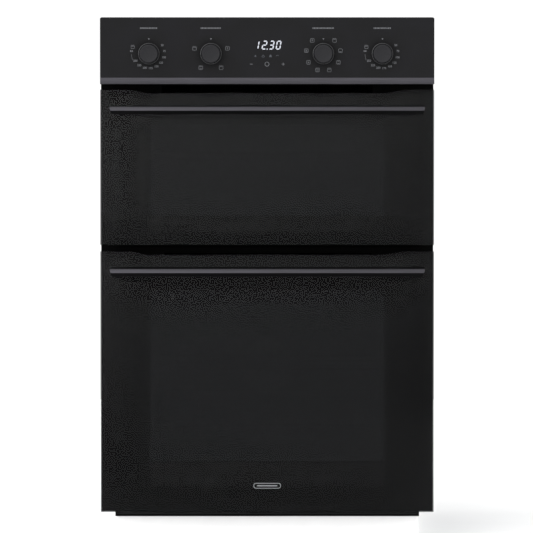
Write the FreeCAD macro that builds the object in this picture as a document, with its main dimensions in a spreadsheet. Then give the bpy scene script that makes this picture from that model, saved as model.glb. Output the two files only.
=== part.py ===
import FreeCAD, Part
import math
import os
import re
import sys

import Sketcher
from FreeCAD import Placement, Rotation, Vector

# A built-in double wall oven: a small top oven over a main oven, each with a drop-down
# glass door, under one control fascia with four rotary knobs.
#
# The frame: +X to the right as a cook sees it, -Y towards the cook, +Z up. The origin is under
# the middle of the whole oven, on the surface that it stands on. Millimetres and degrees.
#
# Every size is a named cell of the sheet, or a named length worked out from those cells. A
# formula names them in plain words, and FreeCAD keeps it as an expression on the sheet.

SIZES = {
    # the whole oven
    "overall_width": 595,
    "overall_height": 894,
    "body_depth": 567,
    "handle_projection": 46,
    "sheet": 1.2,
    # the front, from the top down
    "fascia_height": 106.9,
    "strip_height": 11.9,
    "top_gap": 9.5,
    "upper_door_height": 277,
    "middle_gap": 11.1,
    "bottom_gap": 10.8,
    "corner_radius": 3,
    # how the body stands behind the front
    "frame_setback": 41,
    "frame_margin": 0.5,
    "side_overlap": 25,
    "top_overlap": 15,
    "fixing_radius": 2.25,
    "fixing_inset": 14,
    "fixing_drop": 20,
    "fascia_opening_margin": 20,
    "fascia_opening_foot": 7,
    "fascia_opening_drop": 10,
    # casing: air slots, screws and the mains terminals
    "slot_height": 5,
    "side_slot_far": 150,
    "side_slot_near": 70,
    "side_slot_drop": 145,
    "side_slot_rise": 75,
    "lid_slot_half": 35,
    "lid_slot_first": 75,
    "lid_slot_run": 145,
    "rear_slot_half": 60,
    "rear_slot_rise": 84,
    "rear_slot_drop": 175,
    "screw_head": 2,
    "screw_head_radius": 4,
    "screw_radius": 1.75,
    "screw_clearance": 0.25,
    "screw_length": 9,
    "screw_margin": 16,
    "screw_foot": 30,
    "terminal_inset": 72,
    "terminal_rise": 70,
    "terminal_half_width": 40,
    "terminal_half_height": 30,
    "terminal_depth": 38,
    "cable_bush_radius": 11,
    "cable_radius": 7,
    "cable_bush_length": 30,
    "cable_hole_length": 24,
    "pan_wall": 20,
    # cavities
    "rear_space": 115,
    "lower_floor_rise": 49.9,
    "lower_roof_drop": 51.6,
    "upper_floor_rise": 35.3,
    "upper_roof_drop": 39.7,
    "cavity_corner": 18,
    "insulation": 24,
    "wool_gap": 0.3,
    "cassette_gap": 0.5,
    "gasket_width": 8,
    "gasket_gap": 0.2,
    "seal_margin": 2,
    "wool_end": 4,
    "wool_floor_space": 10,
    "wool_floor_share": 0.75,
    # doors
    "glass": 4,
    "ear_width": 59,
    "ear_ramp": 22,
    "ear_relief": 5.9,
    "ear_rounding": 60,
    "door_gap": 3,
    "stile_width": 44,
    "rail_height": 24,
    "rail_drop": 12,
    "pane_clearance": 1.5,
    "pane_overlap": 17,
    "middle_pane_back": 17,
    "pane_foot_gap": 2,
    "pane_head_gap": 1,
    "vent_half_width": 16,
    "vent_back": 12,
    "vent_depth": 6,
    # hinges
    "hinge_back": 20,
    "hinge_rise": 20,
    "hinge_inset": 20.5,
    "cassette_half": 8,
    "arm_thickness": 6,
    "arm_half_height": 6,
    "arm_clearance": 1.5,
    "pin_radius": 3,
    "pin_clearance": 0.05,
    "fork_wall": 4,
    "fork_height": 60,
    "fork_front_gap": 3,
    "arm_length": 60,
    "cassette_depth": 110,
    "cassette_rise": 26,
    "stile_foot": 8,
    "foot_relief": 4,
    "lip_height": 8,
    "lip_flare": 2,
    "upper_lip_gap": 4.1,
    "lip_depth": 4,
    "lip_inset": 27,
    # handles
    "handle_inset": 17.5,
    "handle_height": 13.5,
    "handle_drop": 36.4,
    "handle_thickness": 15,
    "handle_facet": 6,
    "handle_end_slant": 3.5,
    "handle_rounding": 1.2,
    "post_width": 14,
    "post_height": 11,
    "stud_radius": 3,
    "stud_clearance": 1,
    "stud_reach": 8,
    # controls
    "fascia_glass": 4,
    "fascia_wall": 3,
    "carrier_setback": 20,
    "knob_line": 64.5,
    "knob_radius": 19.25,
    "knob_face_radius": 14.9,
    "knob_depth": 21,
    "knob_standoff": 1,
    "inner_knob_offset": 100,
    "left_knob_offset": 210.5,
    "right_knob_offset": 205,
    "spindle_radius": 3,
    "spindle_clearance": 0.05,
    "bush_radius": 6,
    "knob_skirt": 3,
    "knob_slope": 4,
    "knob_grip_inset": 2.4,
    "knob_chamfer_depth": 1.5,
    "knob_chamfer": 1.4,
    "knob_bore_depth": 13,
    "spindle_gap": 0.5,
    "spindle_flat": 1,
    "carrier_margin": 12,
    "carrier_foot": 4,
    "carrier_drop": 5,
    "carrier_hole_gap": 2,
    "switch_half": 19,
    "switch_depth": 36,
    "timer_half": 58,
    "timer_foot": 12,
    "timer_drop": 8,
    "timer_gap": 0.2,
    "timer_face_depth": 6,
    "display_left": 20,
    "display_right": 28,
    "display_foot": 4,
    "display_head": 26,
    "sensor_half": 36,
    "sensor_foot": 24,
    "sensor_head": 12,
    # shelves and the wire side guides
    "guide_wire": 2,
    "guide_inset": 11,
    "guide_slot": 14,
    "guide_ends": 20,
    "guide_pitch": 65,
    "lower_first_level": 54,
    "upper_first_level": 31,
    "shelf_wire": 2.5,
    "bar_wire": 1.5,
    "shelf_front": 14,
    "shelf_rear": 14,
    "shelf_corner": 14,
    "shelf_rest": 0.3,
    "tray_depth": 38,
    "tray_rim": 8.5,
    "post_overhang": 18,
    "post_top": 10,
    "stay_foot": 10,
    "stay_head": 6,
    # heating and air
    "element_radius": 3.25,
    "ring_gap": 10,
    "fan_radius": 70,
    "fan_height": 18,
    "baffle_space": 36,
    "baffle_margin": 19,
    "duct_height": 20,
    "duct_gap": 2,
    "middle_duct_gap": 3,
    "duct_back": 20,
    "impeller_back": 15,
    "wheel_gap": 2,
    "duct_half_width": 190,
    "impeller_radius": 55,
    "impeller_height": 13,
    "lamp_radius": 22,
    "lamp_inset": 42,
    "lamp_drop": 56,
    "lamp_clearance": 6,
    "grill_drop": 22,
    "leg_gap": 12,
    "ring_leg_spread": 20,
    "ring_space": 16,
    "leg_length": 14,
    "leg_hole_gap": 0.5,
    "heater_bend": 20,
    "grill_front": 50,
    "grill_rear": 24,
    "base_front": 70,
    "base_rear": 60,
    "base_half": 130,
    "base_leg": 30,
    "base_gap": 0.6,
    "lens_depth": 8,
    "lens_rounding": 5,
    "holder_depth": 40,
    "holder_step": 4,
    "holder_flange": 3,
    "probe_radius": 2.25,
    "probe_length": 70,
    "probe_tail": 12,
    "probe_collar": 6,
    "probe_hole": 3,
    "fan_space": 7,
    "fan_disc": 1,
    "fan_hub": 12,
    "fan_shaft": 4,
    "fan_shaft_length": 32,
    "fan_shaft_hole": 8,
    "blade_half": 0.6,
    "motor_half": 46,
    "motor_plate": 2,
    "motor_radius": 34,
    "motor_length": 50,
    "motor_tail_radius": 12,
    "motor_tail": 8,
    "bore_gap": 0.05,
    "wheel_disc": 1.2,
    "wheel_hub": 10,
    "wheel_shaft": 3,
    "wheel_shaft_length": 16,
    "wheel_blade": 13,
    "blower_radius": 28,
    "blower_height": 34,
    "bridge_half": 7,
    "bridge_height": 2,
    "inlet_margin": 12,
    "grille_hole": 5,
    "grille_pitch": 15,
    "side_vent_near": 24,
    "side_vent_far": 16,
    "side_vent_half": 10,
    "side_vent_pitch": 30,
}

DERIVED = {
    "half_width": "overall_width / 2",
    "front": "(handle_projection - body_depth) / 2",
    "rear": "front + body_depth",
    "rear_skin": "rear - screw_head",
    "strip_top": "overall_height - fascia_height",
    "strip_bottom": "strip_top - strip_height",
    "upper_top": "strip_bottom - top_gap",
    "upper_bottom": "upper_top - upper_door_height",
    "lower_top": "upper_bottom - middle_gap",
    "lower_bottom": "bottom_gap",
    "frame_face": "front + frame_setback",
    "frame_back": "frame_face + sheet",
    "frame_half": "half_width - frame_margin",
    "body_half": "half_width - side_overlap",
    "body_top": "overall_height - top_overlap",
    "door_back": "frame_face - door_gap",
    "hinge_x": "body_half - hinge_inset",
    "hinge_y": "front + hinge_back",
    "lower_axis": "lower_bottom + hinge_rise",
    "upper_axis": "upper_bottom + hinge_rise",
    "wool_half": "hinge_x - cassette_half - cassette_gap",
    "cavity_half": "wool_half - insulation - wool_gap - sheet",
    "cavity_rear": "rear - rear_space",
    "lower_floor": "lower_bottom + lower_floor_rise",
    "lower_roof": "lower_top - lower_roof_drop",
    "upper_floor": "upper_bottom + upper_floor_rise",
    "upper_roof": "upper_top - upper_roof_drop",
    "pane_half": "cavity_half + pane_overlap",
    "stile_inner": "pane_half + pane_clearance",
    "stile_outer": "stile_inner + stile_width",
    "handle_half": "half_width - handle_inset",
    "post_x": "handle_half - handle_end_slant - post_width / 2",
    "lip_half": "half_width - lip_inset",
    "knob_z": "overall_height - knob_line",
    "carrier_face": "front + carrier_setback",
    "guide_x": "cavity_half - guide_inset",
    "shelf_half": "guide_x - shelf_rest",
    "shelf_near": "frame_back + shelf_front",
    "baffle_face": "cavity_rear - baffle_space",
    "shelf_far": "baffle_face - shelf_rear",
    "fan_z": "(lower_floor + lower_roof) / 2",
    "ring_radius": "fan_radius + ring_gap",
    "lamp_x": "cavity_half - lamp_inset",
    "baffle_half": "lamp_x - lamp_radius - lamp_clearance",
    "leg_x": "baffle_half + leg_gap",
    "leg_end": "cavity_rear + leg_length",
    "leg_hole": "element_radius + leg_hole_gap",
    "fan_plane": "cavity_rear - fan_space",
    "bush_x": "body_half - terminal_inset",
    "rear_inner": "rear_skin - sheet",
    "duct_floor": "upper_roof + sheet + insulation + duct_gap",
    "duct_rear": "cavity_rear - duct_back",
    "middle_duct_floor": "lower_roof + sheet + insulation + middle_duct_gap",
    "impeller_y": "duct_rear - impeller_radius - impeller_back",
}

OVENS = ("upper", "lower")
SIDES = {"left": "-1", "right": "1"}
GUIDE_LEVELS = {"upper": 2, "lower": 4}
TRAY_LEVEL = 1
LOWER_SHELF_LEVEL = 2
UPPER_SHELF_LEVEL = 1
FAN_BLADES = 10
IMPELLER_BLADES = 24
SHELF_BARS = 15
INTAKE_RINGS = (16, 30, 44)
SCREW_ROWS = 4
SIDE_SLOTS = 6
LID_SLOTS = 14
REAR_SLOTS = 7
DOOR_VENTS = 9

DOCUMENT = FreeCAD.newDocument("double_wall_oven")
SHEET = DOCUMENT.addObject("Spreadsheet::Sheet", "Sizes")
NODES = []


# ---------------------------------------------------------------- sizes and formulas


def fill_sheet():
    """Writes each size into its own cell, under its own name."""
    for row, (alias, number) in enumerate(SIZES.items(), start=1):
        SHEET.set(f"A{row}", alias)
        SHEET.set(f"B{row}", str(number))
        SHEET.setAlias(f"B{row}", alias)
    DOCUMENT.recompute()


def formula(text):
    """The expression that a formula in plain words stands for."""

    def spelled(match):
        word = match.group(0)
        if word in DERIVED:
            return f"({formula(DERIVED[word])})"
        return f"Sizes.{word}" if word in SIZES else word

    return re.sub(r"[a-z][a-z_0-9]*", spelled, str(text))


def value(text):
    """What a formula comes to now, in millimetres."""
    return float(SHEET.evalExpression(formula(text)))


def bind(item, **formulas):
    """Ties properties to formulas; a double underscore stands for a dot."""
    for name, text in formulas.items():
        item.setExpression(name.replace("__", "."), formula(text))


def node(item, label):
    """Keeps this item as a sub-part under its own name."""
    item.Label = label
    NODES.append(item)
    return item


def either_way(half):
    """From minus this half length to plus it."""
    return f"-({half})", half


def beyond(low, length):
    """From this place on, for this length."""
    return low, f"{low} + {length}"


# ---------------------------------------------------------------- plain solids


def box(name, x, y, z):
    """A block between two formulas along each axis."""
    item = DOCUMENT.addObject("Part::Box", name)
    for side, axis, (low, high) in (("Length", "x", x), ("Width", "y", y), ("Height", "z", z)):
        item.setExpression(side, formula(f"({high}) - ({low})"))
        item.setExpression(f"Placement.Base.{axis}", formula(low))
    return item


TURNS = {
    "x": Rotation(Vector(0, 1, 0), 90),
    "y": Rotation(Vector(1, 0, 0), -90),
    "z": Rotation(),
}


def rod(name, axis, radius, centre, span):
    """A round bar along one axis, between two formulas. centre has its place on the other two."""
    item = DOCUMENT.addObject("Part::Cylinder", name)
    item.Placement = Placement(Vector(), TURNS[axis])
    low, high = span
    bind(item, Radius=radius, Height=f"({high}) - ({low})")
    others = [other for other in "xyz" if other != axis]
    for other, text in zip(others, centre):
        item.setExpression(f"Placement.Base.{other}", formula(text))
    item.setExpression(f"Placement.Base.{axis}", formula(low))
    return item


def cut(name, base, *tools):
    """The base less every tool."""
    item = DOCUMENT.addObject("Part::Cut", name)
    item.Base = base
    item.Tool = tools[0] if len(tools) == 1 else fuse(f"{name}_tools", *tools)
    return item


def fuse(name, *shapes):
    """One solid of shapes that touch or overlap."""
    item = DOCUMENT.addObject("Part::MultiFuse", name)
    item.Shapes = list(shapes)
    return item


def together(name, *shapes):
    """Separate solids that share one node."""
    item = DOCUMENT.addObject("Part::Compound", name)
    item.Links = list(shapes)
    return item


def frame_ring(name, outer, inner, y):
    """A flat four-sided ring: an outer and an inner (x, z) pair of spans."""
    outside = box(f"{name}_outside", outer[0], y, outer[1])
    inside = box(f"{name}_inside", inner[0], (f"{y[0]} - 1", f"{y[1]} + 1"), inner[1])
    return cut(name, outside, inside)


# ---------------------------------------------------------------- sketched solids


def new_body(name):
    return DOCUMENT.addObject("PartDesign::Body", name)


def sketch_at(body, plane, level):
    """An empty sketch on one of the body's own planes, moved to this level along its axis."""
    sketch = body.newObject("Sketcher::SketchObject", f"{body.Name}_{plane}_{len(body.Group)}")
    role = f"{plane}_Plane"
    origin = next(item for item in body.Origin.OriginFeatures if item.Role == role)
    sketch.AttachmentSupport = (origin, [""])
    sketch.MapMode = "FlatFace"
    sign = "-1" if plane == "XZ" else "1"
    bind(sketch, AttachmentOffset__Base__z=f"{sign} * ({level})")
    return sketch


def place_point(sketch, geometry, point, across, up):
    """Ties one point of the sketch to two formulas."""
    stem = f"g{geometry}_{point}"
    for kind, text, name in (
        ("DistanceX", across, f"{stem}_across"),
        ("DistanceY", up, f"{stem}_up"),
    ):
        place = Sketcher.Constraint(kind, -1, 1, geometry, point, value(text))
        number = sketch.addConstraint(place)
        sketch.renameConstraint(number, name)
        sketch.setExpression(f"Constraints.{name}", formula(text))


def add_outline(sketch, points):
    """A closed outline of straight sides through (across, up) formulas."""
    first = sketch.GeometryCount
    corners = [Vector(value(across), value(up), 0) for across, up in points]
    for number, corner in enumerate(corners):
        following = corners[(number + 1) % len(corners)]
        sketch.addGeometry(Part.LineSegment(corner, following))
    for number in range(len(corners)):
        here = first + number
        following = first + (number + 1) % len(corners)
        sketch.addConstraint(Sketcher.Constraint("Coincident", here, 2, following, 1))
    for number, (across, up) in enumerate(points):
        place_point(sketch, first + number, 1, across, up)


def add_rectangle(sketch, across, up):
    """A rectangle between two pairs of formulas."""
    (left, right), (low, high) = across, up
    add_outline(sketch, [(left, low), (right, low), (right, high), (left, high)])


def add_circle(sketch, across, up, radius):
    """A circle about a place given by formulas."""
    centre = Vector(value(across), value(up), 0)
    number = sketch.addGeometry(Part.Circle(centre, Vector(0, 0, 1), value(radius)))
    size = sketch.addConstraint(Sketcher.Constraint("Radius", number, value(radius)))
    sketch.renameConstraint(size, f"g{number}_radius")
    sketch.setExpression(f"Constraints.g{number}_radius", formula(radius))
    place_point(sketch, number, 3, across, up)


def pad(body, sketch, length):
    """Grows the sketch along its axis, towards larger coordinates."""
    feature = body.newObject("PartDesign::Pad", f"{body.Name}_pad_{len(body.Group)}")
    feature.Profile = sketch
    feature.Reversed = "_XZ_" in sketch.Name
    bind(feature, Length=length)
    return feature


def pocket(body, sketch, length):
    """Cuts the sketch away along its axis, towards larger coordinates."""
    feature = body.newObject("PartDesign::Pocket", f"{body.Name}_pocket_{len(body.Group)}")
    feature.Profile = sketch
    feature.Reversed = "_XZ_" not in sketch.Name
    bind(feature, Length=length)
    return feature


def edges_where(feature, wanted):
    """The names of the edges whose two ends and middle pass the test."""
    DOCUMENT.recompute()
    found = []
    for number, edge in enumerate(feature.Shape.Edges, start=1):
        first, last = edge.FirstParameter, edge.LastParameter
        marks = [edge.valueAt(first + share * (last - first)) for share in (0, 0.5, 1)]
        if all(wanted(mark) for mark in marks):
            found.append(f"Edge{number}")
    return found


def near(number, text):
    return abs(number - value(text)) < 0.01


def fillet(body, base, wanted, radius):
    """Rounds the edges that pass the test."""
    names = edges_where(base, wanted)
    feature = body.newObject("PartDesign::Fillet", f"{body.Name}_fillet_{len(body.Group)}")
    feature.Base = (base, names)
    bind(feature, Radius=radius)
    return feature


def rounded_block(name, x, y, z, wanted, radius):
    """A block between two formulas along each axis, with the edges that pass the test rounded."""
    body = new_body(name)
    base = sketch_at(body, "XY", z[0])
    add_rectangle(base, x, y)
    block = pad(body, base, f"({z[1]}) - ({z[0]})")
    fillet(body, block, wanted, radius)
    return body


def around(body, original, axis_name, count):
    """Repeats a feature in a full turn about one of the body's own axes."""
    pattern = body.newObject("PartDesign::PolarPattern", f"{body.Name}_ring_{len(body.Group)}")
    pattern.Originals = [original]
    axis = next(item for item in body.Origin.OriginFeatures if item.Role == axis_name)
    pattern.Axis = (axis, [""])
    pattern.Angle = 360
    pattern.Occurrences = count
    body.Tip = pattern
    return pattern


def along(body, original, axis_name, length, count):
    """Repeats a feature along one of the body's own axes, over this whole length."""
    pattern = body.newObject("PartDesign::LinearPattern", f"{body.Name}_row_{len(body.Group)}")
    pattern.Originals = [original]
    axis = next(item for item in body.Origin.OriginFeatures if item.Role == axis_name)
    pattern.Direction = (axis, [""])
    bind(pattern, Length=length)
    pattern.Occurrences = count
    body.Tip = pattern
    return pattern


# ---------------------------------------------------------------- bent wire


def bend_at(before, corner, after, bend):
    """Where a bend of this radius leaves one run and joins the next, with its centre and axis."""
    incoming = (corner - before).normalize()
    outgoing = (after - corner).normalize()
    turn = incoming.getAngle(outgoing)
    reach = bend * math.tan(turn / 2)
    start = corner - incoming * reach
    end = corner + outgoing * reach
    axis = incoming.cross(outgoing).normalize()
    centre = start + axis.cross(incoming) * bend
    return start, end, centre, axis, math.degrees(turn)


def wire_pieces(points, radius, bend, closed=False):
    """Round wire of straight runs and bends through these points, as solids that meet end to end."""
    count = len(points)
    turns = range(count) if closed else range(1, count - 1)
    bends = {
        number: bend_at(points[number - 1], points[number], points[(number + 1) % count], bend)
        for number in turns
    }
    pieces = []
    for number in range(count if closed else count - 1):
        following = (number + 1) % count
        start = bends[number][1] if number in bends else points[number]
        end = bends[following][0] if following in bends else points[following]
        run = end - start
        if run.Length > 0.01:
            pieces.append(Part.makeCylinder(radius, run.Length, start, run))
    for number, (start, _, centre, axis, degrees) in bends.items():
        disc = Part.Face(Part.Wire(Part.makeCircle(radius, start, points[number] - start)))
        pieces.append(disc.revolve(centre, axis, degrees))
    return pieces


def welded(label, pieces):
    """One sub-part of pieces welded into a single solid."""
    shape = pieces[0].multiFuse(pieces[1:]).removeSplitter()
    item = DOCUMENT.addObject("Part::Feature", label)
    item.Shape = shape.Solids[0] if len(shape.Solids) == 1 else shape
    return item


def wire_point(x, y, z):
    return Vector(value(x), value(y), value(z))


# ---------------------------------------------------------------- the body


def base_pan():
    """An open tray that the whole oven stands on."""
    body = new_body("pan")
    floor = sketch_at(body, "XY", "0")
    add_rectangle(floor, either_way("body_half - sheet"), ("frame_back", "rear_skin - sheet"))
    pad(body, floor, "pan_wall")
    inside = sketch_at(body, "XY", "sheet")
    inner = ("frame_back + sheet", "rear_skin - 2 * sheet")
    add_rectangle(inside, either_way("body_half - 2 * sheet"), inner)
    pocket(body, inside, "pan_wall")
    node(body, "base_pan")


def side_panels():
    """A sheet on each side, with a row of air slots high at the rear."""
    panels = []
    for side, sign in SIDES.items():
        body = new_body(f"{side}_side")
        low = "body_half - sheet" if side == "right" else "-body_half"
        plate = sketch_at(body, "YZ", low)
        add_rectangle(plate, ("frame_back", "rear_skin - sheet"), ("0", "body_top - sheet"))
        pad(body, plate, "sheet")
        slot = sketch_at(body, "YZ", f"{low} - 1")
        across = ("rear - side_slot_far", "rear - side_slot_near")
        add_rectangle(slot, across, beyond("body_top - side_slot_drop", "slot_height"))
        opening = pocket(body, slot, "sheet + 2")
        along(body, opening, "Z_Axis", "side_slot_rise", SIDE_SLOTS)
        panels.append(body)
    node(together("sides", *panels), "side_panels")


def top_cover():
    """The lid over the electronics, with a grille of slots over the blower."""
    body = new_body("lid")
    plate = sketch_at(body, "XY", "body_top - sheet")
    add_rectangle(plate, either_way("body_half"), ("frame_back", "rear_skin"))
    pad(body, plate, "sheet")
    slot = sketch_at(body, "XY", "body_top - sheet - 1")
    add_rectangle(
        slot,
        beyond("-lid_slot_first", "slot_height"),
        ("impeller_y - lid_slot_half", "impeller_y + lid_slot_half"),
    )
    opening = pocket(body, slot, "sheet + 2")
    along(body, opening, "X_Axis", "lid_slot_run", LID_SLOTS)
    node(body, "top_cover")


def rear_screw_places():
    """Where screws hold the rear panel: in two columns near its sides."""
    step = f"(body_top - 2 * screw_foot) / {SCREW_ROWS - 1}"
    return [
        (f"{sign} * (body_half - screw_margin)", f"screw_foot + {number} * {step}")
        for sign in SIDES.values()
        for number in range(SCREW_ROWS)
    ]


def rear_panel():
    """The back sheet, with louvre slots by the fan motor, screw holes and the cable hole."""
    body = new_body("back")
    plate = sketch_at(body, "XZ", "rear_skin - sheet")
    add_rectangle(plate, either_way("body_half"), ("0", "body_top - sheet"))
    pad(body, plate, "sheet")
    holes = sketch_at(body, "XZ", "rear_skin - sheet - 1")
    for across, up in rear_screw_places():
        add_circle(holes, across, up, "screw_radius + screw_clearance")
    add_circle(holes, "bush_x", "terminal_rise", "cable_bush_radius + 2 * screw_clearance")
    pocket(body, holes, "sheet + 2")
    for low in ("fan_z - rear_slot_rise / 2", "body_top - rear_slot_drop"):
        slot = sketch_at(body, "XZ", "rear_skin - sheet - 1")
        add_rectangle(slot, either_way("rear_slot_half"), beyond(low, "slot_height"))
        opening = pocket(body, slot, "sheet + 2")
        along(body, opening, "Z_Axis", "rear_slot_rise", REAR_SLOTS)
    node(body, "rear_panel")


def front_frame():
    """The stamped plate behind the doors: both mouths, air outlets, hinge slots and fixing holes."""
    body = new_body("mouth_frame")
    plate = sketch_at(body, "XZ", "frame_face")
    head = "body_top - sheet"
    sides = [
        ("body_half", "0"),
        ("body_half", "lower_bottom"),
        ("frame_half", "lower_bottom"),
        ("frame_half", head),
    ]
    mirrored = [(f"-{across}", up) for across, up in reversed(sides)]
    add_outline(plate, sides + mirrored)
    pad(body, plate, "sheet")
    mouths = sketch_at(body, "XZ", "frame_face - 1")
    for oven in OVENS:
        add_rectangle(mouths, either_way("cavity_half"), (f"{oven}_floor", f"{oven}_roof"))
    add_rectangle(
        mouths,
        either_way("body_half - fascia_opening_margin"),
        ("strip_top + fascia_opening_foot", "body_top - fascia_opening_drop"),
    )
    for floor in ("duct_floor", "middle_duct_floor"):
        outlet = (f"{floor} + sheet", f"{floor} + duct_height - sheet")
        add_rectangle(mouths, either_way("duct_half_width - sheet"), outlet)
    slot_half = "(arm_thickness / 2 + arm_clearance)"
    for sign in SIDES.values():
        for oven in OVENS:
            across = (f"{sign} * hinge_x - {slot_half}", f"{sign} * hinge_x + {slot_half}")
            reach = "(arm_half_height + arm_clearance)"
            add_rectangle(mouths, across, (f"{oven}_axis - {reach}", f"{oven}_axis + {reach}"))
            fixing_x = f"{sign} * (frame_half - fixing_inset)"
            add_circle(mouths, fixing_x, f"{oven}_roof - fixing_drop", "fixing_radius")
    openings = pocket(body, mouths, "sheet + 2")

    def at_mouth_corner(mark):
        """The short edges through the plate at the corners of both oven mouths."""
        side = near(abs(mark.x), "cavity_half")
        ends = [f"{oven}_{end}" for oven in OVENS for end in ("floor", "roof")]
        return side and any(near(mark.z, end) for end in ends)

    fillet(body, openings, at_mouth_corner, "cavity_corner")
    node(body, "front_frame")


def trim_lips():
    """A strip under each door, with its top front edge rounded and its ends flared out."""
    lips = []
    for oven in OVENS:
        body = new_body(f"{oven}_lip")
        low = "0" if oven == "lower" else "upper_bottom - upper_lip_gap - lip_height"
        face = sketch_at(body, "XZ", "frame_face - lip_depth")
        corners = [
            ("-(lip_half + lip_flare)", low),
            ("lip_half + lip_flare", low),
            ("lip_half - lip_flare", f"{low} + lip_height"),
            ("-(lip_half - lip_flare)", f"{low} + lip_height"),
        ]
        add_outline(face, corners)
        strip = pad(body, face, "lip_depth")
        high = f"{low} + lip_height"

        def on_nose(mark, high=high):
            return near(mark.z, high) and near(mark.y, "frame_face - lip_depth")

        fillet(body, strip, on_nose, "lip_depth * 0.75")
        lips.append(body)
    node(together("lips", *lips), "trim_lips")


def casing_screws():
    """Pan-head screws in the rear panel."""
    screws = []
    for number, (across, up) in enumerate(rear_screw_places()):
        head = rod(f"head_{number}", "y", "screw_head_radius", (across, up), ("rear_skin", "rear"))
        span = ("rear_skin - screw_length", "rear_skin")
        shank = rod(f"shank_{number}", "y", "screw_radius", (across, up), span)
        screws.append(fuse(f"screw_{number}", head, shank))
    node(together("screws", *screws), "casing_screws")


def terminal_block():
    """The mains terminal housing with its cable bush, which fills the hole in the rear panel."""
    centre = ("bush_x", "terminal_rise")
    case = box(
        "terminal_case",
        ("bush_x - terminal_half_width", "bush_x + terminal_half_width"),
        ("rear_inner - terminal_depth", "rear_inner - wool_gap"),
        ("terminal_rise - terminal_half_height", "terminal_rise + terminal_half_height"),
    )
    bush_span = ("rear_skin - cable_bush_length", "rear - 0.5")
    bush = rod("cable_bush", "y", "cable_bush_radius", centre, bush_span)
    hole_span = ("rear_skin - cable_hole_length", "rear + 1")
    hole = rod("cable_hole", "y", "cable_radius", centre, hole_span)
    node(cut("terminals", fuse("terminal_body", case, bush), hole), "terminal_block")


# ---------------------------------------------------------------- cavities


def cavity(oven):
    """An enamelled box, open at the front, with rounded long and rear edges."""
    blocks = {}
    for skin, wall, mouth in (("outside", "sheet", "0"), ("inside", "0", "1")):
        x = f"(cavity_half + {wall})"
        y = (f"frame_back - {mouth}", f"cavity_rear + {wall}")
        z = (f"{oven}_floor - {wall}", f"{oven}_roof + {wall}")

        def long_or_rear(mark, x=x, y=y, z=z):
            """Every edge but those of the open front."""
            side = near(abs(mark.x), x)
            level = near(mark.z, z[0]) or near(mark.z, z[1])
            return (side and level) or (near(mark.y, y[1]) and (side or level))

        name = f"{oven}_cavity_{skin}"
        radius = f"cavity_corner + {wall}"
        blocks[skin] = rounded_block(name, either_way(x), y, z, long_or_rear, radius)
    box_cut = cut(f"{oven}_box", blocks["outside"], blocks["inside"], *rear_holes(oven))
    node(box_cut, f"{oven}_cavity")


def rear_holes(oven):
    """Rods that cut the cavity's rear wall for the lamp, the probe, the grill's legs and the fan."""
    lamp_z = f"{oven}_roof - lamp_drop"
    grill_z = f"{oven}_roof - grill_drop"
    holes = [
        ("lamp_x", lamp_z, "lamp_radius - holder_step + 1"),
        ("-lamp_x", lamp_z, "probe_hole"),
        ("-leg_x", grill_z, "leg_hole"),
        ("leg_x", grill_z, "leg_hole"),
    ]
    if oven == "lower":
        holes.append(("0", "fan_z", "fan_shaft_hole"))
        for sign in SIDES.values():
            across = f"{sign} * ring_leg_spread"
            holes.append((across, "fan_z + ring_radius", "leg_hole"))
    span = ("cavity_rear - 1", "cavity_rear + sheet + 1")
    return [
        rod(f"{oven}_rear_hole_{number}", "y", radius, (across, up), span)
        for number, (across, up, radius) in enumerate(holes)
    ]


def cavity_insulation():
    """A mineral-wool sleeve round each cavity, with room for the heater under the floor."""
    sleeves = []
    for oven in OVENS:
        gap = "sheet + wool_gap"
        outside = box(
            f"{oven}_wool_outside",
            either_way("wool_half"),
            ("frame_back + wool_end", "cavity_rear - wool_end"),
            (
                f"{oven}_floor - wool_floor_space - insulation * wool_floor_share",
                f"{oven}_roof + sheet + insulation",
            ),
        )
        inside = box(
            f"{oven}_wool_inside",
            either_way(f"cavity_half + {gap}"),
            ("frame_back", "cavity_rear"),
            (f"{oven}_floor - wool_floor_space", f"{oven}_roof + {gap}"),
        )
        sleeves.append(cut(f"{oven}_sleeve", outside, inside))
    node(together("wool", *sleeves), "cavity_insulation")


def door_gaskets():
    """A heat seal round each mouth, which the door's inner pane closes on."""
    rings = []
    for oven in OVENS:
        inner = (
            either_way("cavity_half + seal_margin"),
            (f"{oven}_floor - seal_margin", f"{oven}_roof + seal_margin"),
        )
        outer = (
            either_way("cavity_half + seal_margin + gasket_width"),
            (f"{oven}_floor - seal_margin - gasket_width", f"{oven}_roof + seal_margin + gasket_width"),
        )
        rings.append(frame_ring(f"{oven}_seal", outer, inner, ("door_back + gasket_gap", "frame_face")))
    node(together("seals", *rings), "door_gaskets")


def lamps():
    """In each cavity: a glass lens inside the rear wall and the lampholder behind it."""
    lenses = []
    holders = []
    for oven in OVENS:
        centre = ("lamp_x", f"{oven}_roof - lamp_drop")
        lens_span = ("cavity_rear - lens_depth", "cavity_rear")
        flange = rod(f"{oven}_lens", "y", "lamp_radius", centre, lens_span)
        dome = fillet_solid(f"{oven}_lens_dome", flange, value("lens_rounding"))
        lenses.append(dome)
        body = rod(
            f"{oven}_lampholder",
            "y",
            "lamp_radius - holder_step",
            centre,
            ("cavity_rear + timer_gap", "cavity_rear + holder_depth"),
        )
        flange_back = rod(
            f"{oven}_lampholder_flange",
            "y",
            "lamp_radius + holder_flange",
            centre,
            beyond("cavity_rear + sheet", "holder_flange"),
        )
        holders.append(fuse(f"{oven}_lamp_body", body, flange_back))
    node(together("lenses", *lenses), "lamp_lenses")
    node(together("holders", *holders), "lamp_holders")


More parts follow.
